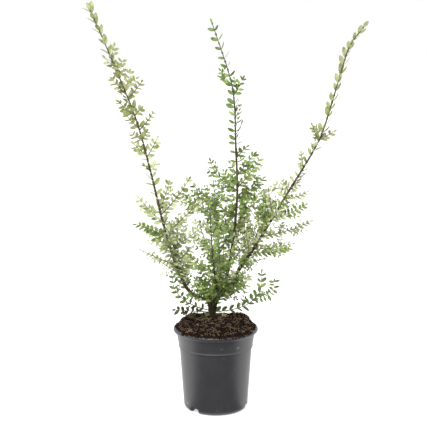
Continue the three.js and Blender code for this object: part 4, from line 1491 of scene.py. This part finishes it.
for tone, leaves in tone_leaves.items():
    leathery_leaf = drifting_material(
        f"leathery_leaf_{tone}", LEAF_DRIFT, TONES[tone], LEAF_FINISH, LEAF_DRIFT_SPAN
    )
    moved = []
    for place, blade, face, size in leaves:
        face = (face - blade * face.dot(blade)).normalized()
        frame_of_leaf = np.array([blade, face.cross(blade), face])
        moved.append(leaf_corners @ (frame_of_leaf * size) + np.array(place))
    piece = place_arrays(
        f"leaves_{tone}", *copies(leaf_corners, leaf_faces, moved), leathery_leaf
    )
    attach(piece, "root")
    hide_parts(*tone_nodes[tone])

# Floor: a plain white studio floor that runs out of sight, lit a little from below so
# that the pot's shadow on it stays faint.
FLOOR_RADIUS = 30
floor_shape = bmesh.new()
bmesh.ops.create_circle(floor_shape, cap_ends=True, segments=64, radius=FLOOR_RADIUS)
floor = place_shape("studio_floor", floor_shape)
# Matt white paper, grey enough to take the room's light and glowing a little.
matt_white = new_material("matt_white")
floor_surface = add_node(
    matt_white, "BsdfPrincipled",
    {
        "Base Color": hex_colour("#d8d8d8"), "Roughness": 0.9,
        "Emission Color": (1, 1, 1, 1), "Emission Strength": 0.6,
    },
)
add_node(matt_white, "OutputMaterial", None, {"Surface": floor_surface.outputs["BSDF"]})
floor.data.materials.append(matt_white)

# Light: a white room all round, one large soft lamp in front and above, and a curved dark
# card round the front of the pot that only gloss reflects, which keeps its middle dark.
ROOM_STRENGTH = 1.0
LAMP_SIZE = 1.6
LAMP_POWER = 75
LAMP_PLACE = (-0.9, -1.8, 2.4)
LAMP_AIM = (0, 0, 0.35)
room = bpy.data.worlds.new("white_room")
room.use_nodes = True
room.node_tree.nodes["Background"].inputs["Color"].default_value = (1, 1, 1, 1)
room.node_tree.nodes["Background"].inputs["Strength"].default_value = ROOM_STRENGTH
bpy.context.scene.world = room
softbox = bpy.data.lights.new("softbox", "AREA")
softbox.shape = "DISK"
softbox.size = LAMP_SIZE
softbox.energy = LAMP_POWER
softbox_object = add_object("softbox", softbox)
softbox_object.location = LAMP_PLACE
to_plant = Vector(LAMP_AIM) - softbox_object.location
softbox_object.rotation_euler = to_plant.to_track_quat("-Z", "Y").to_euler()
CARD_FOOT = 0.062
CARD_RADIUS = 0.4
CARD_LIFT = 0.0005
CARD_HEIGHT = 0.4
CARD_TURN = 130
card_shape = bmesh.new()
card_side = Matrix.Rotation(math.radians(-CARD_TURN / 2), 3, "Z") @ Vector((0, -1, 0))
card_edge = [
    card_shape.verts.new(card_side * radius + Vector((0, 0, height)))
    for radius, height in (
        (CARD_FOOT, CARD_LIFT), (CARD_RADIUS, CARD_LIFT), (CARD_RADIUS, CARD_HEIGHT)
    )
]
for pair in zip(card_edge, card_edge[1:]):
    card_shape.edges.new(pair)
bmesh.ops.spin(
    card_shape, geom=card_shape.verts[:] + card_shape.edges[:], cent=(0, 0, 0), axis=(0, 0, 1),
    angle=math.radians(CARD_TURN), steps=24, use_merge=False,
)
card = place_shape("dark_card", card_shape)
card.visible_camera = card.visible_diffuse = card.visible_shadow = False
card.visible_transmission = card.visible_volume_scatter = False
# Matt black paper that gives back almost no light.
matt_black = new_material("matt_black")
card_surface = add_node(
    matt_black, "BsdfPrincipled", {"Base Color": hex_colour("#101010"), "Roughness": 1.0}
)
add_node(matt_black, "OutputMaterial", None, {"Surface": card_surface.outputs["BSDF"]})
card.data.materials.append(matt_black)
bpy.context.scene.view_settings.view_transform = "Standard"

# Camera: at the photograph's place, a little above the plant's middle, looking down.
CAMERA_PLACE = (-0.0039, -1.7, 0.639)
CAMERA_DOWN = 9.65
CAMERA_LENS = 83.55
camera_data = bpy.data.cameras.new("camera")
camera_data.sensor_width = 36
camera_data.lens = CAMERA_LENS
camera = add_object("camera", camera_data)
camera.location = CAMERA_PLACE
camera.rotation_euler = (math.radians(90 - CAMERA_DOWN), 0, 0)
bpy.context.scene.camera = camera
